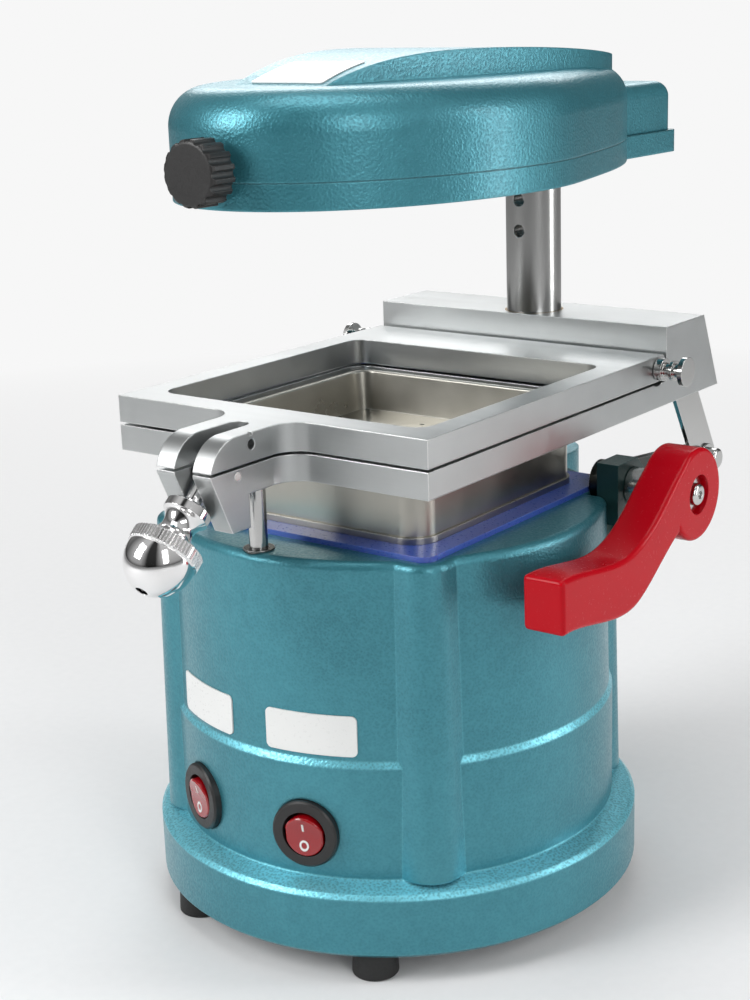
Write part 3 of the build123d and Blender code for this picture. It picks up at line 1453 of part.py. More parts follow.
# ---------------------------------------------------------------- heater head
def head_outline(inset):
    """Egg-shaped plan of the head, drawn in by an inset."""
    half = head_half_width - inset
    mid = (head_mid[0] - inset, head_mid[1])
    waist = (head_waist[0] - inset, head_waist[1])
    neck = (head_neck[0] - inset, head_neck[1] - inset)
    with BuildSketch(mode=Mode.PRIVATE) as outline:
        with BuildLine():
            EllipticalCenterArc((0, head_centre_y), half, head_front - inset, 180, arc_size=180)
            right = Spline((half, head_centre_y), mid, waist, neck, tangents=((0, 1), (-0.55, 1)))
            Line(neck, (-neck[0], neck[1]))
            mirror(right, about=Plane.YZ)
        make_face()
    return outline.sketch


with BuildPart() as head_body:
    with BuildSketch(Plane.XY.offset(head_seam_z)):
        add(head_outline(0))
    extrude(amount=head_crown_z - head_seam_z)
    fillet(head_body.faces().sort_by(Axis.Z)[-1].edges(), head_round)

with BuildPart() as head_tail:
    with BuildSketch(Plane.XY.offset(head_seam_z)):
        with Locations((0, tail_rear_y)):
            Rectangle(2 * tail_half, tail_rear_y - spine_mid_y, align=(Align.CENTER, Align.MAX))
    extrude(amount=tail_top_z - head_seam_z)
    fillet(head_tail.edges().filter_by(Axis.Z).group_by(Axis.Y)[-1], tail_corner_r)
    fillet(head_tail.faces().sort_by(Axis.Z)[-1].edges(), tail_round)

with BuildPart() as head_spine:
    with BuildSketch(Plane.XY.offset(spine_base_z)):
        with BuildLine():
            Line((-spine_front_half, spine_front_y), (spine_front_half, spine_front_y))
            Spline(
                (spine_front_half, spine_front_y),
                (spine_mid_half, spine_mid_y),
                (0, spine_rear_y),
                tangents=((0.1, 1), (-1, 0)),
            )
            Spline(
                (0, spine_rear_y),
                (-spine_mid_half, spine_mid_y),
                (-spine_front_half, spine_front_y),
                tangents=((-1, 0), (0.1, -1)),
            )
        make_face()
    extrude(amount=head_crown_z)
    with BuildSketch(Plane.YZ.offset(-head_half_width)):
        with BuildLine():
            Spline(*spine_line)
            Polyline(
                spine_line[-1],
                (spine_line[-1][0], spine_base_z),
                (spine_line[0][0], spine_base_z),
                spine_line[0],
            )
        make_face()
    extrude(amount=2 * head_half_width, mode=Mode.INTERSECT)

with BuildPart() as head_cover:
    add(head_body.part)
    add(head_tail.part)
    add(head_spine.part)
    # hollow inside
    with BuildSketch(Plane.XY.offset(head_seam_z)):
        add(head_outline(head_wall))
    extrude(amount=tail_top_z - head_wall - head_seam_z, mode=Mode.SUBTRACT)
    with BuildSketch(Plane.XY.offset(head_seam_z)):
        with Locations((0, tail_rear_y - head_wall)):
            Rectangle(
                2 * (tail_half - head_wall),
                tail_rear_y - head_wall - head_waist[1],
                align=(Align.CENTER, Align.MAX),
            )
    extrude(amount=tail_top_z - 2 * head_wall - head_seam_z, mode=Mode.SUBTRACT)
    # boss on the post and screw bosses
    with BuildSketch(Plane.XY.offset(head_seam_z)):
        with Locations((0, post_y)):
            Circle(tail_boss_r)
        with Locations(*head_screw_places):
            Circle(head_boss_r)
    extrude(amount=tail_top_z - head_wall - head_seam_z)
    with BuildSketch(Plane.XY.offset(head_seam_z)):
        with Locations(*head_screw_places):
            Circle(head_screw_r)
    extrude(amount=head_screw_length - head_floor, mode=Mode.SUBTRACT)
    with BuildSketch(Plane.XY.offset(head_seam_z)):
        with Locations((0, post_y)):
            Circle(post_r + running)
    extrude(amount=post_top_z + slip - head_seam_z, mode=Mode.SUBTRACT)
    # holes for the knob's stud and the set screw
    with BuildSketch(Plane.XZ.offset(-head_centre_y)):
        with Locations((0, head_knob_z)):
            Circle(head_stud_r + running)
    extrude(amount=2 * head_front, mode=Mode.SUBTRACT)
    with BuildSketch(Plane.XZ.offset(-post_y)):
        with Locations((0, set_screw_z)):
            Circle(set_screw_r + running)
    extrude(amount=-tail_lip_y, mode=Mode.SUBTRACT)

with BuildPart() as head_base:
    with BuildSketch(Plane.XY.offset(head_bottom_z)):
        add(head_outline(0))
        with Locations((0, tail_lip_y)):
            Rectangle(2 * tail_lip_half, tail_lip_y - head_waist[1], align=(Align.CENTER, Align.MAX))
        Circle(head_opening_r, mode=Mode.SUBTRACT)
    extrude(amount=head_seam_z - head_bottom_z)
    fillet(head_base.edges().filter_by(Axis.Z).group_by(Axis.Y)[-1], tail_corner_r)
    with BuildSketch(Plane.XY.offset(head_inner_floor_z)):
        add(head_outline(head_wall))
    extrude(amount=head_seam_z - head_inner_floor_z, mode=Mode.SUBTRACT)
    with BuildSketch(Plane.XY.offset(head_inner_floor_z)):
        Circle(head_opening_r + 1.5)
        Circle(head_opening_r, mode=Mode.SUBTRACT)
        with Locations(*head_screw_places):
            Circle(head_boss_r)
        with Locations((0, post_y)):
            Circle(tail_boss_r)
    extrude(amount=head_seam_z - head_inner_floor_z)
    with BuildSketch(Plane.XY.offset(head_bottom_z)):
        with Locations(*head_screw_places):
            Circle(head_screw_r)
        with Locations((0, post_y)):
            Circle(post_r + running)
    extrude(amount=head_seam_z - head_bottom_z, mode=Mode.SUBTRACT)
    with BuildSketch(Plane.XY.offset(head_bottom_z)):
        with Locations(*head_screw_places):
            Circle(head_screw_head_r + spigot_fit)
    extrude(amount=head_screw_head, mode=Mode.SUBTRACT)

with BuildPart() as head_screws:
    with BuildSketch(Plane.XY.offset(head_bottom_z)):
        with Locations(*head_screw_places):
            Circle(head_screw_head_r)
            RegularPolygon(head_screw_head_r / 2, 4, mode=Mode.SUBTRACT)
    extrude(amount=head_screw_head / 2)
    with BuildSketch(Plane.XY.offset(head_bottom_z + head_screw_head / 2)):
        with Locations(*head_screw_places):
            Circle(head_screw_head_r)
    extrude(amount=head_screw_head / 2)
    with BuildSketch(Plane.XY.offset(head_bottom_z + head_screw_head)):
        with Locations(*head_screw_places):
            Circle(head_screw_r - running)
    extrude(amount=head_screw_length)

element_legs = [
    (side * element_leg_spacing / 2, sqrt(ring**2 - (element_leg_spacing / 2) ** 2))
    for ring in element_rings
    for side in (-1, 1)
]
with BuildPart() as heater_reflector:
    with BuildSketch(Plane.XZ):
        with BuildLine():
            Polyline(
                (0, head_seam_z + reflector_height - reflector_wall),
                (reflector_r - reflector_wall, head_seam_z + reflector_height - reflector_wall),
                (reflector_r, head_seam_z),
                (reflector_lip_r, head_seam_z),
                (reflector_lip_r, head_seam_z + reflector_lip),
                (reflector_r + reflector_wall, head_seam_z + reflector_lip),
                (reflector_r, head_seam_z + reflector_height),
                (0, head_seam_z + reflector_height),
                close=True,
            )
        make_face()
    revolve(axis=Axis.Z)
    with BuildSketch(Plane.XY.offset(head_seam_z + reflector_height)):
        with Locations(*element_legs):
            Circle(element_r + slip)
    extrude(amount=-reflector_height / 2, mode=Mode.SUBTRACT)

# tubular element: two open rings, each with two legs up through the reflector
with BuildPart() as heater_element:
    for ring in element_rings:
        mouth = degrees(2 * asin(element_leg_spacing / 2 / ring))
        with BuildLine() as element_path:
            CenterArc((0, 0, element_z), ring, 90 + mouth / 2, 360 - mouth)
        with BuildSketch(Plane(origin=element_path.line @ 0, z_dir=element_path.line % 0)):
            Circle(element_r)
        sweep(path=element_path.line)
    with BuildSketch(Plane.XY.offset(element_z)):
        with Locations(*element_legs):
            Circle(element_r)
    extrude(amount=element_leg)

with BuildPart() as heater_insulators:
    with BuildSketch(Plane.XY.offset(head_seam_z + reflector_height)):
        with Locations(*element_legs):
            Circle(insulator_r)
            Circle(element_r + running, mode=Mode.SUBTRACT)
    extrude(amount=element_z + element_leg - 1 - head_seam_z - reflector_height)

with BuildPart() as head_set_screw:
    with BuildSketch(Plane.XZ.offset(-tail_rear_y)):
        with Locations((0, set_screw_z)):
            Circle(set_screw_head_r)
    extrude(amount=-set_screw_head)
    fillet(head_set_screw.faces().sort_by(Axis.Y)[-1].edges(), set_screw_fillet)
    with BuildSketch(Plane.XZ.offset(-tail_rear_y)):
        with Locations((0, set_screw_z)):
            Circle(set_screw_r)
    extrude(amount=tail_rear_y - post_y - post_r - slip)
    with BuildSketch(Plane.XZ.offset(-tail_rear_y - set_screw_head)):
        with Locations((0, set_screw_z)):
            RegularPolygon(set_screw_socket_r, 6)
    extrude(amount=set_screw_socket_depth, mode=Mode.SUBTRACT)

head_wall_y = head_centre_y - head_front
knob_back_y = head_knob_face_y + head_knob_thickness
inner_nut_y = head_wall_y + head_wall + head_nut_gap
with BuildPart() as head_knob:
    with BuildSketch(Plane.XZ.offset(-knob_back_y)):
        with Locations((0, head_knob_z)):
            Circle(head_knob_r)
    extrude(amount=head_knob_thickness)
    fillet(head_knob.faces().sort_by(Axis.Y)[0].edges(), head_knob_dome)
    with BuildSketch(Plane.XZ.offset(-knob_back_y)):
        with Locations((0, head_knob_z)):
            with PolarLocations(head_knob_r + head_knob_flute_r * 0.3, head_knob_flutes):
                Circle(head_knob_flute_r)
    extrude(amount=head_knob_thickness, mode=Mode.SUBTRACT)
    with BuildSketch(Plane.XZ.offset(-knob_back_y)):
        with Locations((0, head_knob_z)):
            Circle(head_stud_r)
    extrude(amount=head_knob_bore_depth, mode=Mode.SUBTRACT)

with BuildPart() as head_knob_stud:
    with BuildSketch(Plane.XZ.offset(-head_wall_y)):
        with Locations((0, head_knob_z)):
            Circle(head_stud_r)
    extrude(amount=head_wall_y - knob_back_y + head_knob_bore_depth)
    with BuildSketch(Plane.XZ.offset(-head_wall_y)):
        with Locations((0, head_knob_z)):
            Circle(head_stud_r)
    extrude(amount=-(inner_nut_y + head_nut_height + head_stud_end - head_wall_y))

with BuildPart() as head_knob_nuts:
    for nut_y in (knob_back_y, inner_nut_y):
        with BuildSketch(Plane.XZ.offset(-nut_y)):
            with Locations((0, head_knob_z)):
                RegularPolygon(head_nut_across / 2, 6, major_radius=False)
                Circle(head_stud_r, mode=Mode.SUBTRACT)
        extrude(amount=-head_nut_height)

with BuildPart() as head_plate:
    with BuildSketch(Plane.YZ.offset(-head_half_width)):
        with BuildLine():
            Spline(*spine_line)
            Spline(*[(y, z + head_plate_gauge) for y, z in spine_line])
            Line(spine_line[0], (spine_line[0][0], spine_line[0][1] + head_plate_gauge))
            Line(spine_line[-1], (spine_line[-1][0], spine_line[-1][1] + head_plate_gauge))
        make_face()
    extrude(amount=2 * head_half_width)
    with BuildSketch(Plane.XY.offset(head_seam_z)):
        with Locations((head_plate_x, head_plate_y)):
            RectangleRounded(head_plate_width, head_plate_length, 1)
    extrude(amount=head_crown_z, mode=Mode.INTERSECT)

# ---------------------------------------------------------------- write the pieces
pieces = {
    "base_housing": base_housing,
    "base_plate": base_plate,
    "rubber_feet": rubber_feet,
    "foot_screws": foot_screws,
    "post": post,
    "post_bolt": post_bolt,
    "guide_bush": guide_bush,
    "guide_rod": guide_rod,
    "rod_clip": rod_clip,
    "switch_bezels": switch_bezels,
    "rocker_left": rockers["left"],
    "rocker_right": rockers["right"],
    "name_plates": name_plates,
    "power_inlet": power_inlet,
    "inlet_screws": inlet_screws,
    "fuse_holder": fuse_holder,
    "silicone_mat": silicone_mat,
    "tray_base": tray_base,
    "forming_tray": forming_tray,
    "stem_nut": stem_nut,
    "suction_duct": suction_duct,
    "fan_case": fan_case,
    "motor_bracket": motor_bracket,
    "standoffs": standoffs,
    "motor_can": motor_can,
    "stator": stator,
    "motor_bearings": motor_bearings,
    "motor_shaft": motor_shaft,
    "motor_rotor": motor_rotor,
    "impeller": impeller,
    "motor_screws": motor_screws,
    "lower_frame": lower_frame,
    "post_bushes": post_bushes,
    "hinge_pins": hinge_pins,
    "link_top_pin": link_top_pin,
    "upper_frame": upper_frame,
    "bolt_pin": bolt_pin,
    "swing_bolt": swing_bolt,
    "clamp_knob": clamp_knob,
    "pivot_bracket": pivot_bracket,
    "bracket_bolts": bracket_bolts,
    "lever_shaft": lever_shaft,
    "crank_arm": crank_arm,
    "link": link,
    "link_pin": link_pin,
    "link_washer": link_washer_ring,
    "handle": handle,
    "handle_washer": handle_washer_ring,
    "handle_screw": handle_screw,
    "head_cover": head_cover,
    "head_base": head_base,
    "head_screws": head_screws,
    "heater_reflector": heater_reflector,
    "heater_element": heater_element,
    "heater_insulators": heater_insulators,
    "head_knob": head_knob,
    "head_knob_stud": head_knob_stud,
    "head_knob_nuts": head_knob_nuts,
    "head_set_screw": head_set_screw,
    "head_plate": head_plate,
}

os.makedirs("parts", exist_ok=True)
for name, piece in pieces.items():
    piece.part.label = name
    export_step(piece.part, f"parts/{name}.step")
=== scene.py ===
from math import cos, radians, sin

import bmesh
import bpy
from mathutils import Matrix, Vector


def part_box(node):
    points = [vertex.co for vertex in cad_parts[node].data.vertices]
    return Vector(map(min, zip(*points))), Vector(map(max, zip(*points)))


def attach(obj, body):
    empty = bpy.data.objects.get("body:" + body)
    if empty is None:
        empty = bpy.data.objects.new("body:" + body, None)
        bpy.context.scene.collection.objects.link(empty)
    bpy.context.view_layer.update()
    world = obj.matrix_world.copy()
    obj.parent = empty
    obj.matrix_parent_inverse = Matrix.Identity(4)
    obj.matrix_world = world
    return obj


MM = 0.001

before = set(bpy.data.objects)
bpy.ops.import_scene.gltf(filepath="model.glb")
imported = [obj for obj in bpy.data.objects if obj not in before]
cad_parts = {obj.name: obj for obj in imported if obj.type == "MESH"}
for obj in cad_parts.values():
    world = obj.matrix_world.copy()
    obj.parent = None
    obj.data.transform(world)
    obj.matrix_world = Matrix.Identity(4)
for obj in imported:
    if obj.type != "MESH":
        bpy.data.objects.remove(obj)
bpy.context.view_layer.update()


# ------------------------------------------------------------------ camera
# The photograph's viewpoint: off the front right corner, looking a little down.
PHOTO_WIDTH = 750
CAMERA_PLACE = Vector((391.1, -518.6, 334.9)) * MM
CAMERA_TURN = 36.0        # degrees from the front towards the lever's side
CAMERA_DIP = 15.8         # degrees below the horizontal
CAMERA_ROLL = -1.53       # degrees
CAMERA_FOCUS = 1774.5     # focal length in the photograph's pixels
CAMERA_CENTRE_X = 420.0   # pixel column that the lens points at
SENSOR = 36.0             # mm
CLIP_NEAR = 0.01          # m
CLIP_FAR = 50


def place_camera():
    lens = bpy.data.cameras.new("photo_camera")
    lens.sensor_fit = "HORIZONTAL"
    lens.sensor_width = SENSOR
    lens.lens = SENSOR * CAMERA_FOCUS / PHOTO_WIDTH
    lens.shift_x = (PHOTO_WIDTH / 2 - CAMERA_CENTRE_X) / PHOTO_WIDTH
    lens.clip_start = CLIP_NEAR
    lens.clip_end = CLIP_FAR
    camera = bpy.data.objects.new("photo_camera", lens)
    turn = Matrix.Rotation(radians(CAMERA_TURN), 4, "Z")
    dip = Matrix.Rotation(radians(90 - CAMERA_DIP), 4, "X")
    roll = Matrix.Rotation(radians(CAMERA_ROLL), 4, "Z")
    camera.matrix_world = Matrix.Translation(CAMERA_PLACE) @ turn @ dip @ roll
    bpy.context.scene.collection.objects.link(camera)
    bpy.context.scene.camera = camera


# ------------------------------------------------------------------ node helpers
# sockets of the mix node when it mixes colours: it has another set for each data type
MIX_INPUTS = {"Factor": 0, "A": 6, "B": 7}
MIX_RESULT = 2


def add_node(tree, kind, **values):
    """A shader node; values name its attributes, or its inputs with spaces as underscores."""
    made = tree.nodes.new(kind)
    for name, value in values.items():
        if hasattr(made, name) and name not in made.inputs:
            setattr(made, name, value)
        else:
            made.inputs[name.replace("_", " ")].default_value = value
    return made


def wire(tree, source, target):
    tree.links.new(source, target)


def ramp(tree, source, stops):
    """A colour ramp on a value; stops are (position, grey or colour)."""
    made = tree.nodes.new("ShaderNodeValToRGB")
    elements = made.color_ramp.elements
    while len(elements) < len(stops):
        elements.new(0.5)
    for element, (position, tone) in zip(elements, stops):
        if isinstance(tone, (int, float)):
            tone = (tone, tone, tone)
        element.position = position
        element.color = (*tone, 1)
    wire(tree, source, made.inputs["Fac"])
    return made.outputs["Color"]


def mix_colour(tree, factor, first, second, blend="MIX"):
    """Mixes two colours; each input is a socket or a plain value."""
    made = tree.nodes.new("ShaderNodeMix")
    made.data_type = "RGBA"
    made.blend_type = blend
    for name, value in (("Factor", factor), ("A", first), ("B", second)):
        socket = made.inputs[MIX_INPUTS[name]]
        if isinstance(value, bpy.types.NodeSocket):
            wire(tree, value, socket)
        elif isinstance(value, (int, float)):
            socket.default_value = value
        else:
            socket.default_value = (*value, 1)
    return made.outputs[MIX_RESULT]


def math_node(tree, operation, first, second=0.0, third=0.0):
    """One sum or product; each input is a socket or a number."""
    made = tree.nodes.new("ShaderNodeMath")
    made.operation = operation
    for index, value in enumerate((first, second, third)):
        if isinstance(value, bpy.types.NodeSocket):
            wire(tree, value, made.inputs[index])
        else:
            made.inputs[index].default_value = value
    return made.outputs[0]


def map_range(tree, value, low, high, new_low, new_high):
    """Spreads low..high over new_low..new_high and holds the ends."""
    made = tree.nodes.new("ShaderNodeMapRange")
    wire(tree, value, made.inputs["Value"])
    made.inputs["From Min"].default_value = low
    made.inputs["From Max"].default_value = high
    made.inputs["To Min"].default_value = new_low
    made.inputs["To Max"].default_value = new_high
    return made.outputs["Result"]


def start_group(name, inputs, outputs):
    """An empty node group with named sockets: (name, socket type, default)."""
    group = bpy.data.node_groups.new(name, "ShaderNodeTree")
    for label, kind, value in inputs:
        socket = group.interface.new_socket(name=label, in_out="INPUT", socket_type=kind)
        if value is not None:
            socket.default_value = value
    for label, kind in outputs:
        group.interface.new_socket(name=label, in_out="OUTPUT", socket_type=kind)
    return group, group.nodes.new("NodeGroupInput"), group.nodes.new("NodeGroupOutput")


def use_group(tree, group, **values):
    """A group's node; values name its inputs with spaces as underscores."""
    made = tree.nodes.new("ShaderNodeGroup")
    made.node_tree = group
    for name, value in values.items():
        socket = made.inputs[name.replace("_", " ")]
        if isinstance(value, bpy.types.NodeSocket):
            wire(tree, value, socket)
        else:
            socket.default_value = value
    return made


# ------------------------------------------------------------------ effects that finishes share
def make_mottle():
    """Soft uneven tone of a used surface: a broad cloud with finer specks in it."""
    group, start, end = start_group(
        "surface_mottle",
        [("Vector", "NodeSocketVector", None), ("Cloud Scale", "NodeSocketFloat", 25.0)],
        [("Cloud", "NodeSocketFloat"), ("Specks", "NodeSocketFloat")],
    )
    cloud = add_node(group, "ShaderNodeTexNoise", Detail=4.0, Roughness=0.6)
    wire(group, start.outputs["Vector"], cloud.inputs["Vector"])
    wire(group, start.outputs["Cloud Scale"], cloud.inputs["Scale"])
    specks = add_node(group, "ShaderNodeTexNoise", Scale=900.0, Detail=2.0)
    wire(group, start.outputs["Vector"], specks.inputs["Vector"])
    wire(group, cloud.outputs["Fac"], end.inputs["Cloud"])
    wire(group, specks.outputs["Fac"], end.inputs["Specks"])
    return group


def make_grain():
    """Fine parallel scratches of brushed metal; Stretch sets the direction of the strokes."""
    group, start, end = start_group(
        "brushed_grain",
        [
            ("Vector", "NodeSocketVector", None),
            ("Stretch", "NodeSocketVector", (1.0, 1.0, 1.0)),
        ],
        [("Lines", "NodeSocketFloat"), ("Bands", "NodeSocketFloat")],
    )
    stretched = add_node(group, "ShaderNodeVectorMath", operation="MULTIPLY")
    wire(group, start.outputs["Vector"], stretched.inputs[0])
    wire(group, start.outputs["Stretch"], stretched.inputs[1])
    lines = add_node(group, "ShaderNodeTexNoise", Scale=1.0, Detail=3.0, Roughness=0.7)
    wire(group, stretched.outputs[0], lines.inputs["Vector"])
    bands = add_node(group, "ShaderNodeTexNoise", Scale=0.12, Detail=2.0)
    wire(group, stretched.outputs[0], bands.inputs["Vector"])
    wire(group, lines.outputs["Fac"], end.inputs["Lines"])
    wire(group, bands.outputs["Fac"], end.inputs["Bands"])
    return group


# how alike the true and the rounded normal are where the edge's mask starts and where it is full
EDGE_FROM = 0.995
EDGE_FULL = 0.85


def make_edge_light():
    """Softened corners: a mask near sharp edges that places a painted highlight, and a normal
    that rounds them.
    """
    group, start, end = start_group(
        "edge_light",
        [("Radius", "NodeSocketFloat", 0.0004)],
        [("Mask", "NodeSocketFloat"), ("Normal", "NodeSocketVector")],
    )
    rounded = add_node(group, "ShaderNodeBevel", samples=4)
    wire(group, start.outputs["Radius"], rounded.inputs["Radius"])
    true_normal = add_node(group, "ShaderNodeNewGeometry")
    likeness = add_node(group, "ShaderNodeVectorMath", operation="DOT_PRODUCT")
    wire(group, rounded.outputs["Normal"], likeness.inputs[0])
    wire(group, true_normal.outputs["True Normal"], likeness.inputs[1])
    mask = map_range(group, likeness.outputs["Value"], EDGE_FROM, EDGE_FULL, 0.0, 1.0)
    wire(group, mask, end.inputs["Mask"])
    wire(group, rounded.outputs["Normal"], end.inputs["Normal"])
    return group


def make_moulding():
    """Slight unevenness of moulded plastic and rubber: an orange peel height."""
    group, start, end = start_group(
        "moulded_skin",
        [("Vector", "NodeSocketVector", None), ("Size", "NodeSocketFloat", 600.0)],
        [("Height", "NodeSocketFloat")],
    )
    peel = add_node(group, "ShaderNodeTexNoise", Detail=3.0, Roughness=0.5)
    wire(group, start.outputs["Vector"], peel.inputs["Vector"])
    wire(group, start.outputs["Size"], peel.inputs["Scale"])
    wire(group, peel.outputs["Fac"], end.inputs["Height"])
    return group


MOTTLE = make_mottle()
GRAIN = make_grain()
EDGE = make_edge_light()
MOULDING = make_moulding()


class Finish:
    """A material under way: its tree, its shader and its object coordinates."""

    def __init__(self, name, **shader_values):
        self.material = bpy.data.materials.new(name)
        self.material.use_nodes = True
        self.tree = self.material.node_tree
        self.shader = self.tree.nodes["Principled BSDF"]
        for label, value in shader_values.items():
            self.shader.inputs[label.replace("_", " ")].default_value = value
        coordinates = self.tree.nodes.new("ShaderNodeTexCoord")
        self.place = coordinates.outputs["Object"]

    def feed(self, label, source):
        wire(self.tree, source, self.shader.inputs[label])

    def bump(self, height, strength, distance, normal=None):
        made = add_node(self.tree, "ShaderNodeBump", Strength=strength, Distance=distance)
        wire(self.tree, height, made.inputs["Height"])
        if normal is not None:
            wire(self.tree, normal, made.inputs["Normal"])
        return made.outputs["Normal"]

    def cloud(self, scale):
        """Outputs Cloud and Specks of the shared mottle."""
        return use_group(self.tree, MOTTLE, Vector=self.place, Cloud_Scale=scale).outputs

    def edge(self, radius):
        """Outputs Mask and Normal of the shared edge light; the mask places a painted highlight.
        """
        return use_group(self.tree, EDGE, Radius=radius).outputs

    def lay(self, mask, share, below, above):
        """Lays a colour over another one where a mask is, up to a share of it."""
        return mix_colour(self.tree, math_node(self.tree, "MULTIPLY", mask, share), below, above)

    def spread(self, value, low, high, new_low, new_high):
        return map_range(self.tree, value, low, high, new_low, new_high)

    def noise(self, scale, detail=3.0, roughness=0.55):
        made = add_node(
            self.tree, "ShaderNodeTexNoise", Scale=scale, Detail=detail, Roughness=roughness
        )
        wire(self.tree, self.place, made.inputs["Vector"])
        return made.outputs["Fac"]


# ------------------------------------------------------------------ finishes
DIMPLE_SCALE = 1050.0     # cells per metre
DIMPLE_WARP = 0.9 * MM
DIMPLE_DEPTH = 0.18 * MM
# the painted highlight on up-facing ledges fades out between these heights
LEDGE_HIGHLIGHT_TOP = (0.10, 0.12)  # heights between which the drum's ledges stop being lighter
# a painted shade line where the head's cover meets its base
SEAM_LINE = (0.12 * MM, 0.4 * MM)
SEAM_SHADE_TONE = (0.01, 0.06, 0.07)


def hammered_enamel(name, light, dark, seam_height=None):
    """Metallic enamel that dries into small dimples, with a painted highlight on ledges that face
    up and on edges.
    """
    finish = Finish(
        name, Metallic=0.55, Coat_Weight=0.25, Coat_Roughness=0.25, Specular_IOR_Level=0.55
    )
    tree = finish.tree
    spread = finish.spread
    # a lighter teal, painted on as highlight on ledges and edges
    highlight_tone = tuple(min(1.0, 1.9 * value + 0.08) for value in light)

    # dimples: cells whose places are warped, with a ripple in them
    warp = finish.noise(400.0, 2.0)
    cells = add_node(
        tree, "ShaderNodeTexVoronoi",
        feature="SMOOTH_F1", Scale=DIMPLE_SCALE, Smoothness=0.7, Randomness=1.0,
    )
    shifted = add_node(tree, "ShaderNodeVectorMath", operation="MULTIPLY_ADD")
    wire(tree, warp, shifted.inputs[0])
    shifted.inputs[1].default_value = (DIMPLE_WARP, DIMPLE_WARP, DIMPLE_WARP)
    wire(tree, finish.place, shifted.inputs[2])
    wire(tree, shifted.outputs[0], cells.inputs["Vector"])
    ripple = finish.noise(1500.0, 3.0, 0.6)
    dimples = math_node(tree, "MULTIPLY_ADD", ripple, 0.5, cells.outputs["Distance"])
    crest = spread(dimples, 0.40, 0.95, 0.0, 1.0)

    # tone: a cloud, lighter crests and darker blotches
    cloud = finish.cloud(14.0)
    blotch = finish.noise(170.0, 3.0)
    tone = mix_colour(tree, spread(cloud["Cloud"], 0.3, 0.7, 0.25, 0.6), dark, light)
    tone = mix_colour(tree, spread(crest, 0.0, 1.0, 0.0, 0.38), tone, light)
    tone = mix_colour(tree, spread(blotch, 0.45, 0.75, 0.0, 0.25), tone, dark)

    # painted highlight on ledges that face up, and on edges
    edge = finish.edge(0.0011)
    facing = tree.nodes.new("ShaderNodeSeparateXYZ")
    wire(tree, edge["Normal"], facing.inputs[0])
    rising = spread(facing.outputs["Z"], 0.12, 0.5, 0.0, 1.0)
    level = tree.nodes.new("ShaderNodeSeparateXYZ")
    wire(tree, finish.place, level.inputs[0])
    low = spread(level.outputs["Z"], *LEDGE_HIGHLIGHT_TOP, 1.0, 0.0)
    ledge_highlight = math_node(tree, "MULTIPLY", rising, low)
    speckled = spread(crest, 0.1, 0.8, 0.45, 1.0)
    tone = finish.lay(ledge_highlight, speckled, tone, highlight_tone)
    tone = finish.lay(edge["Mask"], 0.4, tone, highlight_tone)

    # painted shade along the seam of the cover and the base
    if seam_height is not None:
        above = math_node(tree, "SUBTRACT", level.outputs["Z"], seam_height)
        away = math_node(tree, "ABSOLUTE", above)
        seam_shade = spread(away, *SEAM_LINE, 1.0, 0.0)
        tone = finish.lay(seam_shade, 0.6, tone, SEAM_SHADE_TONE)
    finish.feed("Base Color", tone)
    finish.feed("Roughness", spread(crest, 0.0, 1.0, 0.46, 0.30))
    finish.feed("Normal", finish.bump(dimples, 0.6, DIMPLE_DEPTH, edge["Normal"]))
    return finish.material


# colours of the painted highlight along the edges of metals
METAL_EDGE_HIGHLIGHT = (0.98, 0.98, 0.97)
CAST_EDGE_HIGHLIGHT = (0.9, 0.88, 0.84)
WIPED_CHROME = (0.80, 0.80, 0.81)
CLEAN_CHROME = (0.93, 0.92, 0.91)
SHEET_GAP = (0.10, 0.10, 0.105)
SHEET_EDGE = (0.30, 0.30, 0.31)
HEAT_COLOURS = [
    (0.3, (0.06, 0.055, 0.055)),
    (0.5, (0.16, 0.11, 0.07)),
    (0.7, (0.10, 0.08, 0.11)),
]


def machined_metal(name, tone, shade, stretch, roughness, edge_radius, scratch):
    """Milled or brushed metal with fine strokes, slightly broken edges and a painted highlight
    along them.
    """
    finish = Finish(name, Metallic=1.0)
    tree = finish.tree
    grain = use_group(tree, GRAIN, Vector=finish.place, Stretch=stretch).outputs
    cloud = finish.cloud(22.0)["Cloud"]
    edge = finish.edge(edge_radius)
    lines = finish.spread(grain["Lines"], 0.35, 0.65, 0.0, 1.0)
    colour = mix_colour(tree, cloud, shade, tone)
    colour = finish.lay(lines, 0.18, colour, shade)
    # painted highlight along the edges
    colour = finish.lay(edge["Mask"], 0.9, colour, METAL_EDGE_HIGHLIGHT)
    finish.feed("Base Color", colour)
    rough = math_node(tree, "MULTIPLY_ADD", grain["Bands"], 0.14, roughness - 0.07)
    rough = math_node(tree, "SUBTRACT", rough, 0.05)
    finish.feed("Roughness", math_node(tree, "MULTIPLY_ADD", cloud, 0.10, rough))
    finish.feed("Normal", finish.bump(grain["Lines"], scratch, 0.00012, edge["Normal"]))
    return finish.material


def cast_metal(name, tone, shade, roughness, relief):
    """Blasted or cast metal: a matte skin with fine pits."""
    finish = Finish(name, Metallic=1.0)
    cloud = finish.cloud(30.0)["Cloud"]
    edge = finish.edge(0.0006)
    pits = finish.noise(2200.0, 2.0, 0.5)
    colour = mix_colour(finish.tree, cloud, shade, tone)
    # painted highlight along the edges
    finish.feed("Base Color", finish.lay(edge["Mask"], 0.45, colour, CAST_EDGE_HIGHLIGHT))
    rough = finish.spread(cloud, 0.3, 0.7, roughness - 0.05, roughness + 0.07)
    finish.feed("Roughness", rough)
    finish.feed("Normal", finish.bump(pits, relief, 0.00008, edge["Normal"]))
    return finish.material


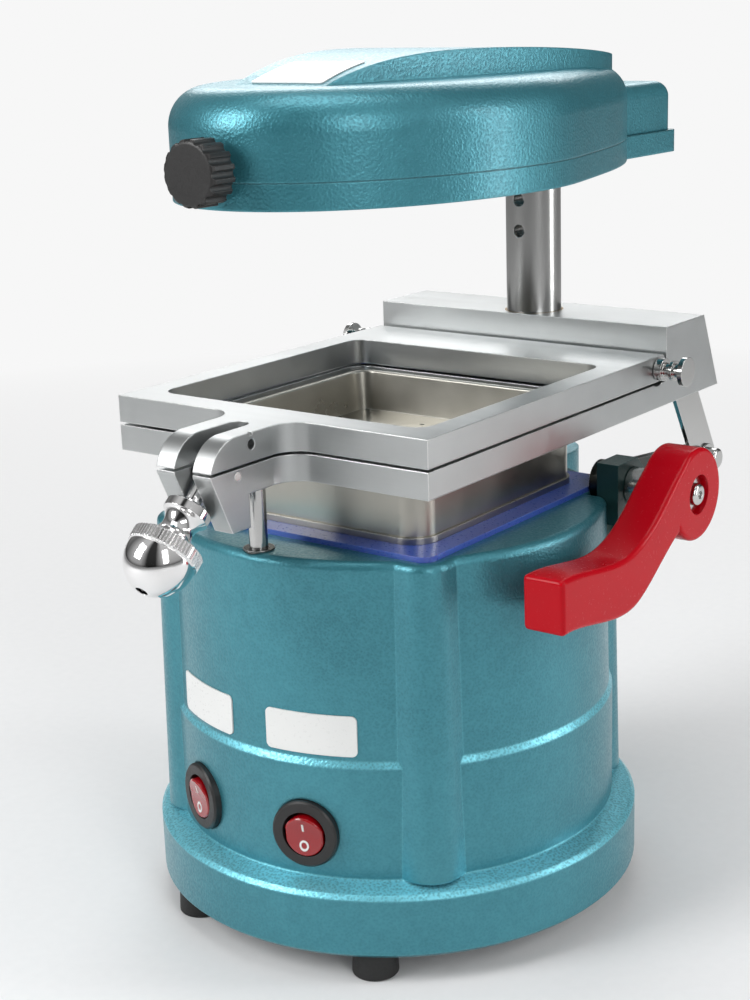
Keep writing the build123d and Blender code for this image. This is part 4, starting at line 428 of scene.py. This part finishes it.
def polished_chrome(name):
    """Plated and buffed, with faint wipe marks that only dull it in places."""
    finish = Finish(name, Metallic=1.0)
    cloud = finish.cloud(90.0)
    edge = finish.edge(0.0003)
    colour = mix_colour(finish.tree, cloud["Cloud"], WIPED_CHROME, CLEAN_CHROME)
    finish.feed("Base Color", colour)
    finish.feed("Roughness", finish.spread(cloud["Specks"], 0.3, 0.75, 0.035, 0.11))
    finish.feed("Normal", finish.bump(cloud["Cloud"], 0.04, 0.0002, edge["Normal"]))
    return finish.material


def moulded_plastic(name, tone, shade, edge_tone, roughness, peel_size, peel, **shader_values):
    """Injection moulded plastic, rubber or silicone with a slight skin; the colour of the painted
    edge highlight may be None.
    """
    finish = Finish(name, **shader_values)
    tree = finish.tree
    cloud = finish.cloud(40.0)
    skin = use_group(tree, MOULDING, Vector=finish.place, Size=peel_size).outputs["Height"]
    edge = finish.edge(0.0005)
    colour = mix_colour(tree, cloud["Cloud"], shade, tone)
    # painted highlight along the edges
    if edge_tone is not None:
        colour = finish.lay(edge["Mask"], 0.5, colour, edge_tone)
    finish.feed("Base Color", colour)
    rough = finish.spread(cloud["Specks"], 0.3, 0.7, roughness - 0.04, roughness + 0.06)
    finish.feed("Roughness", rough)
    finish.feed("Normal", finish.bump(skin, peel, 0.0003, edge["Normal"]))
    return finish.material


def laminated_iron(name):
    """Stack of thin sheets, as in a motor's core."""
    finish = Finish(name, Metallic=1.0)
    tree = finish.tree
    sheets = add_node(
        tree, "ShaderNodeTexWave", bands_direction="Z", Scale=320.0, Distortion=0.4
    )
    wire(tree, finish.place, sheets.inputs["Vector"])
    stack = sheets.outputs["Fac"]
    finish.feed("Base Color", mix_colour(tree, stack, SHEET_GAP, SHEET_EDGE))
    finish.feed("Roughness", finish.spread(finish.noise(400.0), 0.3, 0.7, 0.35, 0.55))
    finish.feed("Normal", finish.bump(stack, 0.3, 0.0002))
    return finish.material


def heat_tinted_steel(name):
    """Heater sheath: dark steel with straw and violet heat colours in patches."""
    finish = Finish(name, Metallic=0.9)
    finish.feed("Base Color", ramp(finish.tree, finish.noise(60.0, 3.0), HEAT_COLOURS))
    finish.feed("Roughness", finish.spread(finish.noise(900.0), 0.3, 0.7, 0.38, 0.62))
    finish.feed("Normal", finish.bump(finish.noise(1400.0), 0.15, 0.0002))
    return finish.material


TEAL_LIGHT = (0.075, 0.330, 0.400)
TEAL_DARK = (0.026, 0.160, 0.205)
SEAM_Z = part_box("head_cover")[0].z

# each finish with its maker; a metal's stretch gives the lines per metre along each axis
# each plastic's edge colour is its painted edge highlight
RECIPES = {
    "drum_enamel": (hammered_enamel, dict(light=TEAL_LIGHT, dark=TEAL_DARK)),
    "head_enamel": (
        hammered_enamel, dict(light=TEAL_LIGHT, dark=TEAL_DARK, seam_height=SEAM_Z)
    ),
    "milled_frame": (machined_metal, dict(
        tone=(0.55, 0.565, 0.565), shade=(0.43, 0.445, 0.445),
        stretch=(60.0, 1500.0, 1500.0), roughness=0.36, edge_radius=0.0006, scratch=0.07,
    )),
    "tray_steel": (cast_metal, dict(
        tone=(0.47, 0.455, 0.41), shade=(0.34, 0.33, 0.295), roughness=0.30, relief=0.05,
    )),
    "turned_steel": (machined_metal, dict(
        tone=(0.60, 0.60, 0.59), shade=(0.46, 0.46, 0.455),
        stretch=(900.0, 900.0, 40.0), roughness=0.22, edge_radius=0.0003, scratch=0.08,
    )),
    "bright_pin": (machined_metal, dict(
        tone=(0.70, 0.70, 0.69), shade=(0.55, 0.55, 0.54),
        stretch=(120.0, 900.0, 900.0), roughness=0.14, edge_radius=0.0003, scratch=0.05,
    )),
    "plated_chrome": (polished_chrome, {}),
    "blackened_arm": (machined_metal, dict(
        tone=(0.10, 0.105, 0.10), shade=(0.05, 0.055, 0.052),
        stretch=(300.0, 300.0, 300.0), roughness=0.36, edge_radius=0.0004, scratch=0.10,
    )),
    "green_bracket": (moulded_plastic, dict(
        tone=(0.020, 0.075, 0.070), shade=(0.012, 0.045, 0.043), edge_tone=(0.06, 0.16, 0.15),
        roughness=0.38, peel_size=700.0, peel=0.12,
        Metallic=0.25, Coat_Weight=0.3, Coat_Roughness=0.2,
    )),
    "plain_screw": (machined_metal, dict(
        tone=(0.60, 0.59, 0.57), shade=(0.42, 0.415, 0.40),
        stretch=(500.0, 500.0, 500.0), roughness=0.27, edge_radius=0.0002, scratch=0.08,
    )),
    "zinc_sheet": (cast_metal, dict(
        tone=(0.60, 0.61, 0.62), shade=(0.44, 0.45, 0.46), roughness=0.34, relief=0.06,
    )),
    "red_gloss": (moulded_plastic, dict(
        tone=(0.50, 0.001, 0.009), shade=(0.46, 0.001, 0.008), edge_tone=(0.66, 0.03, 0.04),
        roughness=0.22, peel_size=180.0, peel=0.006,
        Coat_Weight=0.06, Coat_Roughness=0.10, Specular_IOR_Level=0.14,
    )),
    "rocker_red": (moulded_plastic, dict(
        tone=(0.40, 0.003, 0.008), shade=(0.24, 0.001, 0.004), edge_tone=(0.62, 0.03, 0.03),
        roughness=0.18, peel_size=400.0, peel=0.02,
        Coat_Weight=0.6, Coat_Roughness=0.06, Subsurface_Weight=0.15, Subsurface_Scale=0.002,
    )),
    "black_moulding": (moulded_plastic, dict(
        tone=(0.022, 0.021, 0.021), shade=(0.012, 0.012, 0.012), edge_tone=(0.07, 0.068, 0.066),
        roughness=0.42, peel_size=900.0, peel=0.12,
    )),
    "black_rubber": (moulded_plastic, dict(
        tone=(0.020, 0.020, 0.020), shade=(0.010, 0.010, 0.010), edge_tone=(0.05, 0.05, 0.05),
        roughness=0.62, peel_size=1300.0, peel=0.18,
    )),
    "blue_silicone": (moulded_plastic, dict(
        tone=(0.055, 0.130, 0.50), shade=(0.045, 0.075, 0.38), edge_tone=(0.20, 0.28, 0.75),
        roughness=0.30, peel_size=220.0, peel=0.04,
        Coat_Weight=0.25, Coat_Roughness=0.15, Subsurface_Weight=0.25, Subsurface_Scale=0.003,
    )),
    "white_film": (moulded_plastic, dict(
        tone=(0.86, 0.865, 0.85), shade=(0.80, 0.81, 0.80), edge_tone=(0.93, 0.93, 0.92),
        roughness=0.30, peel_size=350.0, peel=0.03, Coat_Weight=0.3, Coat_Roughness=0.12,
    )),
    "sintered_bronze": (cast_metal, dict(
        tone=(0.30, 0.22, 0.12), shade=(0.20, 0.14, 0.08), roughness=0.45, relief=0.14,
    )),
    "laminated_iron": (laminated_iron, {}),
    "pressed_aluminium": (cast_metal, dict(
        tone=(0.78, 0.78, 0.77), shade=(0.64, 0.64, 0.63), roughness=0.30, relief=0.05,
    )),
    "heater_sheath": (heat_tinted_steel, {}),
    "white_ceramic": (moulded_plastic, dict(
        tone=(0.82, 0.80, 0.74), shade=(0.72, 0.70, 0.64), edge_tone=(0.88, 0.87, 0.82),
        roughness=0.48, peel_size=900.0, peel=0.10,
    )),
    "white_mark": (moulded_plastic, dict(
        tone=(0.88, 0.87, 0.85), shade=(0.82, 0.81, 0.80), edge_tone=None,
        roughness=0.40, peel_size=800.0, peel=0.04,
    )),
}
FINISHES = {name: maker(name, **settings) for name, (maker, settings) in RECIPES.items()}

# the nodes that wear each finish
WORN_BY = {
    "drum_enamel": ["base_housing"],
    "head_enamel": ["head_cover", "head_base"],
    "milled_frame": ["upper_frame", "lower_frame"],
    "tray_steel": ["forming_tray", "tray_base"],
    "turned_steel": ["post", "guide_rod", "head_knob_stud", "lever_shaft"],
    "bright_pin": [
        "hinge_pins", "bolt_pin", "link", "link_top_pin", "link_washer", "link_pin",
        "handle_washer", "handle_screw", "head_knob_nuts",
    ],
    "plated_chrome": ["clamp_knob", "swing_bolt"],
    "blackened_arm": ["crank_arm", "guide_bush"],
    "green_bracket": ["pivot_bracket"],
    "plain_screw": [
        "foot_screws", "post_bolt", "bracket_bolts", "inlet_screws", "motor_screws",
        "rod_clip", "head_screws", "head_set_screw", "stem_nut", "standoffs",
        "motor_shaft", "motor_bearings",
    ],
    "zinc_sheet": ["base_plate", "motor_bracket", "motor_can", "fan_case", "heater_reflector"],
    "red_gloss": ["handle"],
    "rocker_red": ["rocker_left", "rocker_right"],
    "black_moulding": ["switch_bezels", "head_knob", "power_inlet", "fuse_holder"],
    "black_rubber": ["rubber_feet", "suction_duct"],
    "blue_silicone": ["silicone_mat"],
    "white_film": ["name_plates", "head_plate"],
    "sintered_bronze": ["post_bushes"],
    "laminated_iron": ["stator", "motor_rotor"],
    "pressed_aluminium": ["impeller"],
    "heater_sheath": ["heater_element"],
    "white_ceramic": ["heater_insulators"],
}


def dress_nodes():
    """Gives every node of the CAD its finish."""
    dressed = set()
    for finish_name, names in WORN_BY.items():
        for name in names:
            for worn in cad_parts[name].material_slots:
                worn.material = FINISHES[finish_name]
            dressed.add(name)
    left = set(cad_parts) - dressed
    assert not left, f"nodes without a finish: {sorted(left)}"


# ------------------------------------------------------------------ pieces made here
def finish_mesh(name, shape, material, body):
    """Turns a bmesh into a flat-shaded object that rides on a body."""
    bmesh.ops.recalc_face_normals(shape, faces=shape.faces)
    mesh = bpy.data.meshes.new(name)
    shape.to_mesh(mesh)
    shape.free()
    piece = bpy.data.objects.new(name, mesh)
    bpy.context.scene.collection.objects.link(piece)
    piece.data.materials.append(FINISHES[material])
    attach(piece, body)
    return piece


# rocker switches, as the CAD has them, and the marks on them
ROCKER_PIVOT_R = 81.4 * MM
ROCKER_PIVOT_Z = 52.5 * MM
ROCKER_FRONT = 6.4 * MM
ROCKER_DIP = 1.0 * MM
ROCKER_HALF = 7.6 * MM
ROCKER_TILT = 6.0         # degrees, at rest
ROCKER_AZIMUTHS = {"left": -21.5, "right": 14.0}   # degrees from the front
MARK_PROUD = 0.12 * MM
MARK_SUNK = 0.25 * MM
MARK_LINE = 0.75 * MM
BAR_HEIGHT = 3.0 * MM
BAR_CUTS = 4
RING_R = 1.45 * MM
RING_SEGMENTS = 40
RING_TALL = 1.15          # the ring is a little taller than wide
MARK_OFFSET = 3.6 * MM    # of both marks from the rocker's middle
SAME_LENGTH = 0.001 * MM


def rocker_matrix(side):
    """From the rocker's axes (x along its pivot, y outwards, z up) to the part's, at rest."""
    azimuth = radians(ROCKER_AZIMUTHS[side])
    out = Vector((sin(azimuth), -cos(azimuth), 0))
    along = Vector((cos(azimuth), sin(azimuth), 0))
    up = Vector((0, 0, 1))
    turned = Matrix((along, out, up)).transposed().to_4x4()
    pivot = Matrix.Translation(out * ROCKER_PIVOT_R + up * ROCKER_PIVOT_Z)
    tilt = Matrix.Rotation(radians(ROCKER_TILT), 4, along)
    return pivot @ tilt @ turned


def face_depth(height):
    """How far the rocker's hollow face stands out at a height above its middle."""
    return ROCKER_FRONT - ROCKER_DIP * (1 - (height / ROCKER_HALF) ** 2)


def lay_on_rocker(shape, side):
    """Bends a flat mark (x across, y outwards, z up) onto the hollow face and places it."""
    for vertex in shape.verts:
        vertex.co.y += face_depth(vertex.co.z)
    bmesh.ops.transform(shape, matrix=rocker_matrix(side), verts=shape.verts)


def make_bar(side):
    """The I: an upright bar on the upper half."""
    bar = bmesh.new()
    bmesh.ops.create_cube(bar, size=1.0)
    size = (MARK_LINE, MARK_PROUD + MARK_SUNK, BAR_HEIGHT)
    bmesh.ops.scale(bar, vec=size, verts=bar.verts)
    upright = [e for e in bar.edges if abs(e.calc_length() - BAR_HEIGHT) < SAME_LENGTH]
    bmesh.ops.subdivide_edges(bar, edges=upright, cuts=BAR_CUTS)
    shift = (MARK_PROUD - MARK_SUNK) / 2
    bmesh.ops.translate(bar, vec=(0, shift, MARK_OFFSET), verts=bar.verts)
    lay_on_rocker(bar, side)
    return bar


def make_ring(side):
    """The O: a ring on the lower half."""
    ring = bmesh.new()
    rims = []
    for radius in (RING_R + MARK_LINE / 2, RING_R - MARK_LINE / 2):
        rims += bmesh.ops.create_circle(ring, segments=RING_SEGMENTS, radius=radius)["verts"]
    bmesh.ops.bridge_loops(ring, edges=ring.edges[:])
    bmesh.ops.scale(ring, vec=(1, RING_TALL, 1), verts=rims)
    upright = Matrix.Rotation(radians(90), 3, "X")
    bmesh.ops.rotate(ring, matrix=upright, verts=ring.verts)
    raised = bmesh.ops.extrude_face_region(ring, geom=ring.faces[:])["geom"]
    raised = [v for v in raised if isinstance(v, bmesh.types.BMVert)]
    bmesh.ops.translate(ring, vec=(0, MARK_PROUD + MARK_SUNK, 0), verts=raised)
    bmesh.ops.translate(ring, vec=(0, -MARK_SUNK, -MARK_OFFSET), verts=ring.verts)
    lay_on_rocker(ring, side)
    return ring


def make_marks(side):
    for name, shape in (("on_mark", make_bar(side)), ("off_mark", make_ring(side))):
        finish_mesh(f"{name}_{side}", shape, "white_mark", f"rocker_{side}")


# ------------------------------------------------------------------ studio
STUDIO_MIDDLE = Vector((0, 0, 0.16))
FLOOR_HALF = 6.0
CLEAR_NEAR = 0.35         # the floor turns into backdrop between these distances
CLEAR_FAR = 1.1
FLOOR_TONES = ((0.80, 0.805, 0.81), (0.84, 0.842, 0.845))
BACKGROUND = 0.93
SURROUNDINGS = 1.1
WHITE = (1, 1, 1, 1)

# brightness of the surroundings by height, and by turn, with dark panels between bright ones
SKY = [(0.0, 0.10), (0.22, 0.08), (0.30, 0.30), (0.55, 0.42), (1.0, 0.5)]
PANELS = [
    (0.0, 0.25), (0.10, 1.0), (0.20, 1.0), (0.26, 0.06), (0.34, 0.06), (0.40, 1.0),
    (0.62, 1.0), (0.68, 0.15), (0.78, 0.15), (0.86, 0.9), (1.0, 0.25),
]

# turn in degrees from the front towards +X; metres and watts
SOFTBOXES = {
    "key_softbox": dict(turn=-30.0, height=0.60, distance=1.0, width=0.45, tall=0.7, power=8.0),
    "front_softbox": dict(turn=60.0, height=0.55, distance=1.2, width=0.35, tall=0.9, power=4.0),
    "rim_softbox": dict(turn=120.0, height=0.20, distance=1.0, width=0.18, tall=0.9, power=3.5),
    "rear_softbox": dict(turn=215.0, height=0.6, distance=1.0, width=0.8, tall=0.5, power=4.0),
    "top_softbox": dict(turn=0.0, height=1.2, distance=0.05, width=0.7, tall=0.7, power=4.0),
}


def softbox(name, turn, height, distance, width, tall, power):
    """A rectangular lamp that looks at the object."""
    light = bpy.data.lights.new(name, "AREA")
    light.shape = "RECTANGLE"
    light.size = width
    light.size_y = tall
    light.energy = power
    holder = bpy.data.objects.new(name, light)
    out = Vector((sin(radians(turn)), -cos(radians(turn)), 0)) * distance
    holder.location = STUDIO_MIDDLE + out + Vector((0, 0, height))
    aim = STUDIO_MIDDLE - holder.location
    holder.rotation_euler = aim.to_track_quat("-Z", "Y").to_euler()
    bpy.context.scene.collection.objects.link(holder)


def make_floor():
    """A pale floor with a slight grain, which the camera sees fade into the backdrop."""
    shape = bmesh.new()
    bmesh.ops.create_grid(shape, x_segments=1, y_segments=1, size=FLOOR_HALF)
    mesh = bpy.data.meshes.new("studio_floor")
    shape.to_mesh(mesh)
    shape.free()
    floor = bpy.data.objects.new("studio_floor", mesh)
    bpy.context.scene.collection.objects.link(floor)
    material = bpy.data.materials.new("pale_floor")
    material.use_nodes = True
    tree = material.node_tree
    tree.nodes.clear()
    output = tree.nodes.new("ShaderNodeOutputMaterial")
    matte = add_node(tree, "ShaderNodeBsdfDiffuse")
    place = tree.nodes.new("ShaderNodeTexCoord").outputs["Object"]
    speckle = add_node(tree, "ShaderNodeTexNoise", Scale=220.0, Detail=3.0)
    wire(tree, place, speckle.inputs["Vector"])
    wire(tree, mix_colour(tree, speckle.outputs["Fac"], *FLOOR_TONES), matte.inputs["Color"])
    glow = add_node(tree, "ShaderNodeEmission", Strength=BACKGROUND)
    distance = add_node(tree, "ShaderNodeVectorMath", operation="LENGTH")
    wire(tree, place, distance.inputs[0])
    far = map_range(tree, distance.outputs["Value"], CLEAR_NEAR, CLEAR_FAR, 0.0, 1.0)
    rays = tree.nodes.new("ShaderNodeLightPath")
    clear = math_node(tree, "MULTIPLY", far, rays.outputs["Is Camera Ray"])
    blend = tree.nodes.new("ShaderNodeMixShader")
    wire(tree, clear, blend.inputs[0])
    wire(tree, matte.outputs[0], blend.inputs[1])
    wire(tree, glow.outputs[0], blend.inputs[2])
    wire(tree, blend.outputs[0], output.inputs["Surface"])
    floor.data.materials.append(material)


def make_world():
    """Pale behind the object for the camera; softer and uneven in mirrors and as light."""
    world = bpy.data.worlds.new("studio_world")
    bpy.context.scene.world = world
    world.use_nodes = True
    tree = world.node_tree
    tree.nodes.clear()
    output = tree.nodes.new("ShaderNodeOutputWorld")
    backdrop = add_node(tree, "ShaderNodeBackground", Strength=BACKGROUND, Color=WHITE)
    around = add_node(tree, "ShaderNodeBackground", Strength=SURROUNDINGS)
    place = tree.nodes.new("ShaderNodeTexCoord").outputs["Generated"]
    direction = tree.nodes.new("ShaderNodeSeparateXYZ")
    wire(tree, place, direction.inputs[0])
    sky = ramp(tree, map_range(tree, direction.outputs["Z"], -0.3, 1.0, 0.0, 1.0), SKY)
    turn = add_node(tree, "ShaderNodeTexGradient", gradient_type="RADIAL")
    wire(tree, place, turn.inputs["Vector"])
    panels = ramp(tree, turn.outputs["Fac"], PANELS)
    wire(tree, mix_colour(tree, 1.0, sky, panels, "MULTIPLY"), around.inputs["Color"])
    rays = tree.nodes.new("ShaderNodeLightPath")
    blend = tree.nodes.new("ShaderNodeMixShader")
    wire(tree, rays.outputs["Is Camera Ray"], blend.inputs[0])
    wire(tree, around.outputs[0], blend.inputs[1])
    wire(tree, backdrop.outputs[0], blend.inputs[2])
    wire(tree, blend.outputs[0], output.inputs["Surface"])


def make_studio():
    make_floor()
    make_world()
    for name, settings in SOFTBOXES.items():
        softbox(name, **settings)
    bpy.context.scene.view_settings.view_transform = "Standard"


# ------------------------------------------------------------------ put together
place_camera()
dress_nodes()
for side in ROCKER_AZIMUTHS:
    make_marks(side)
make_studio()
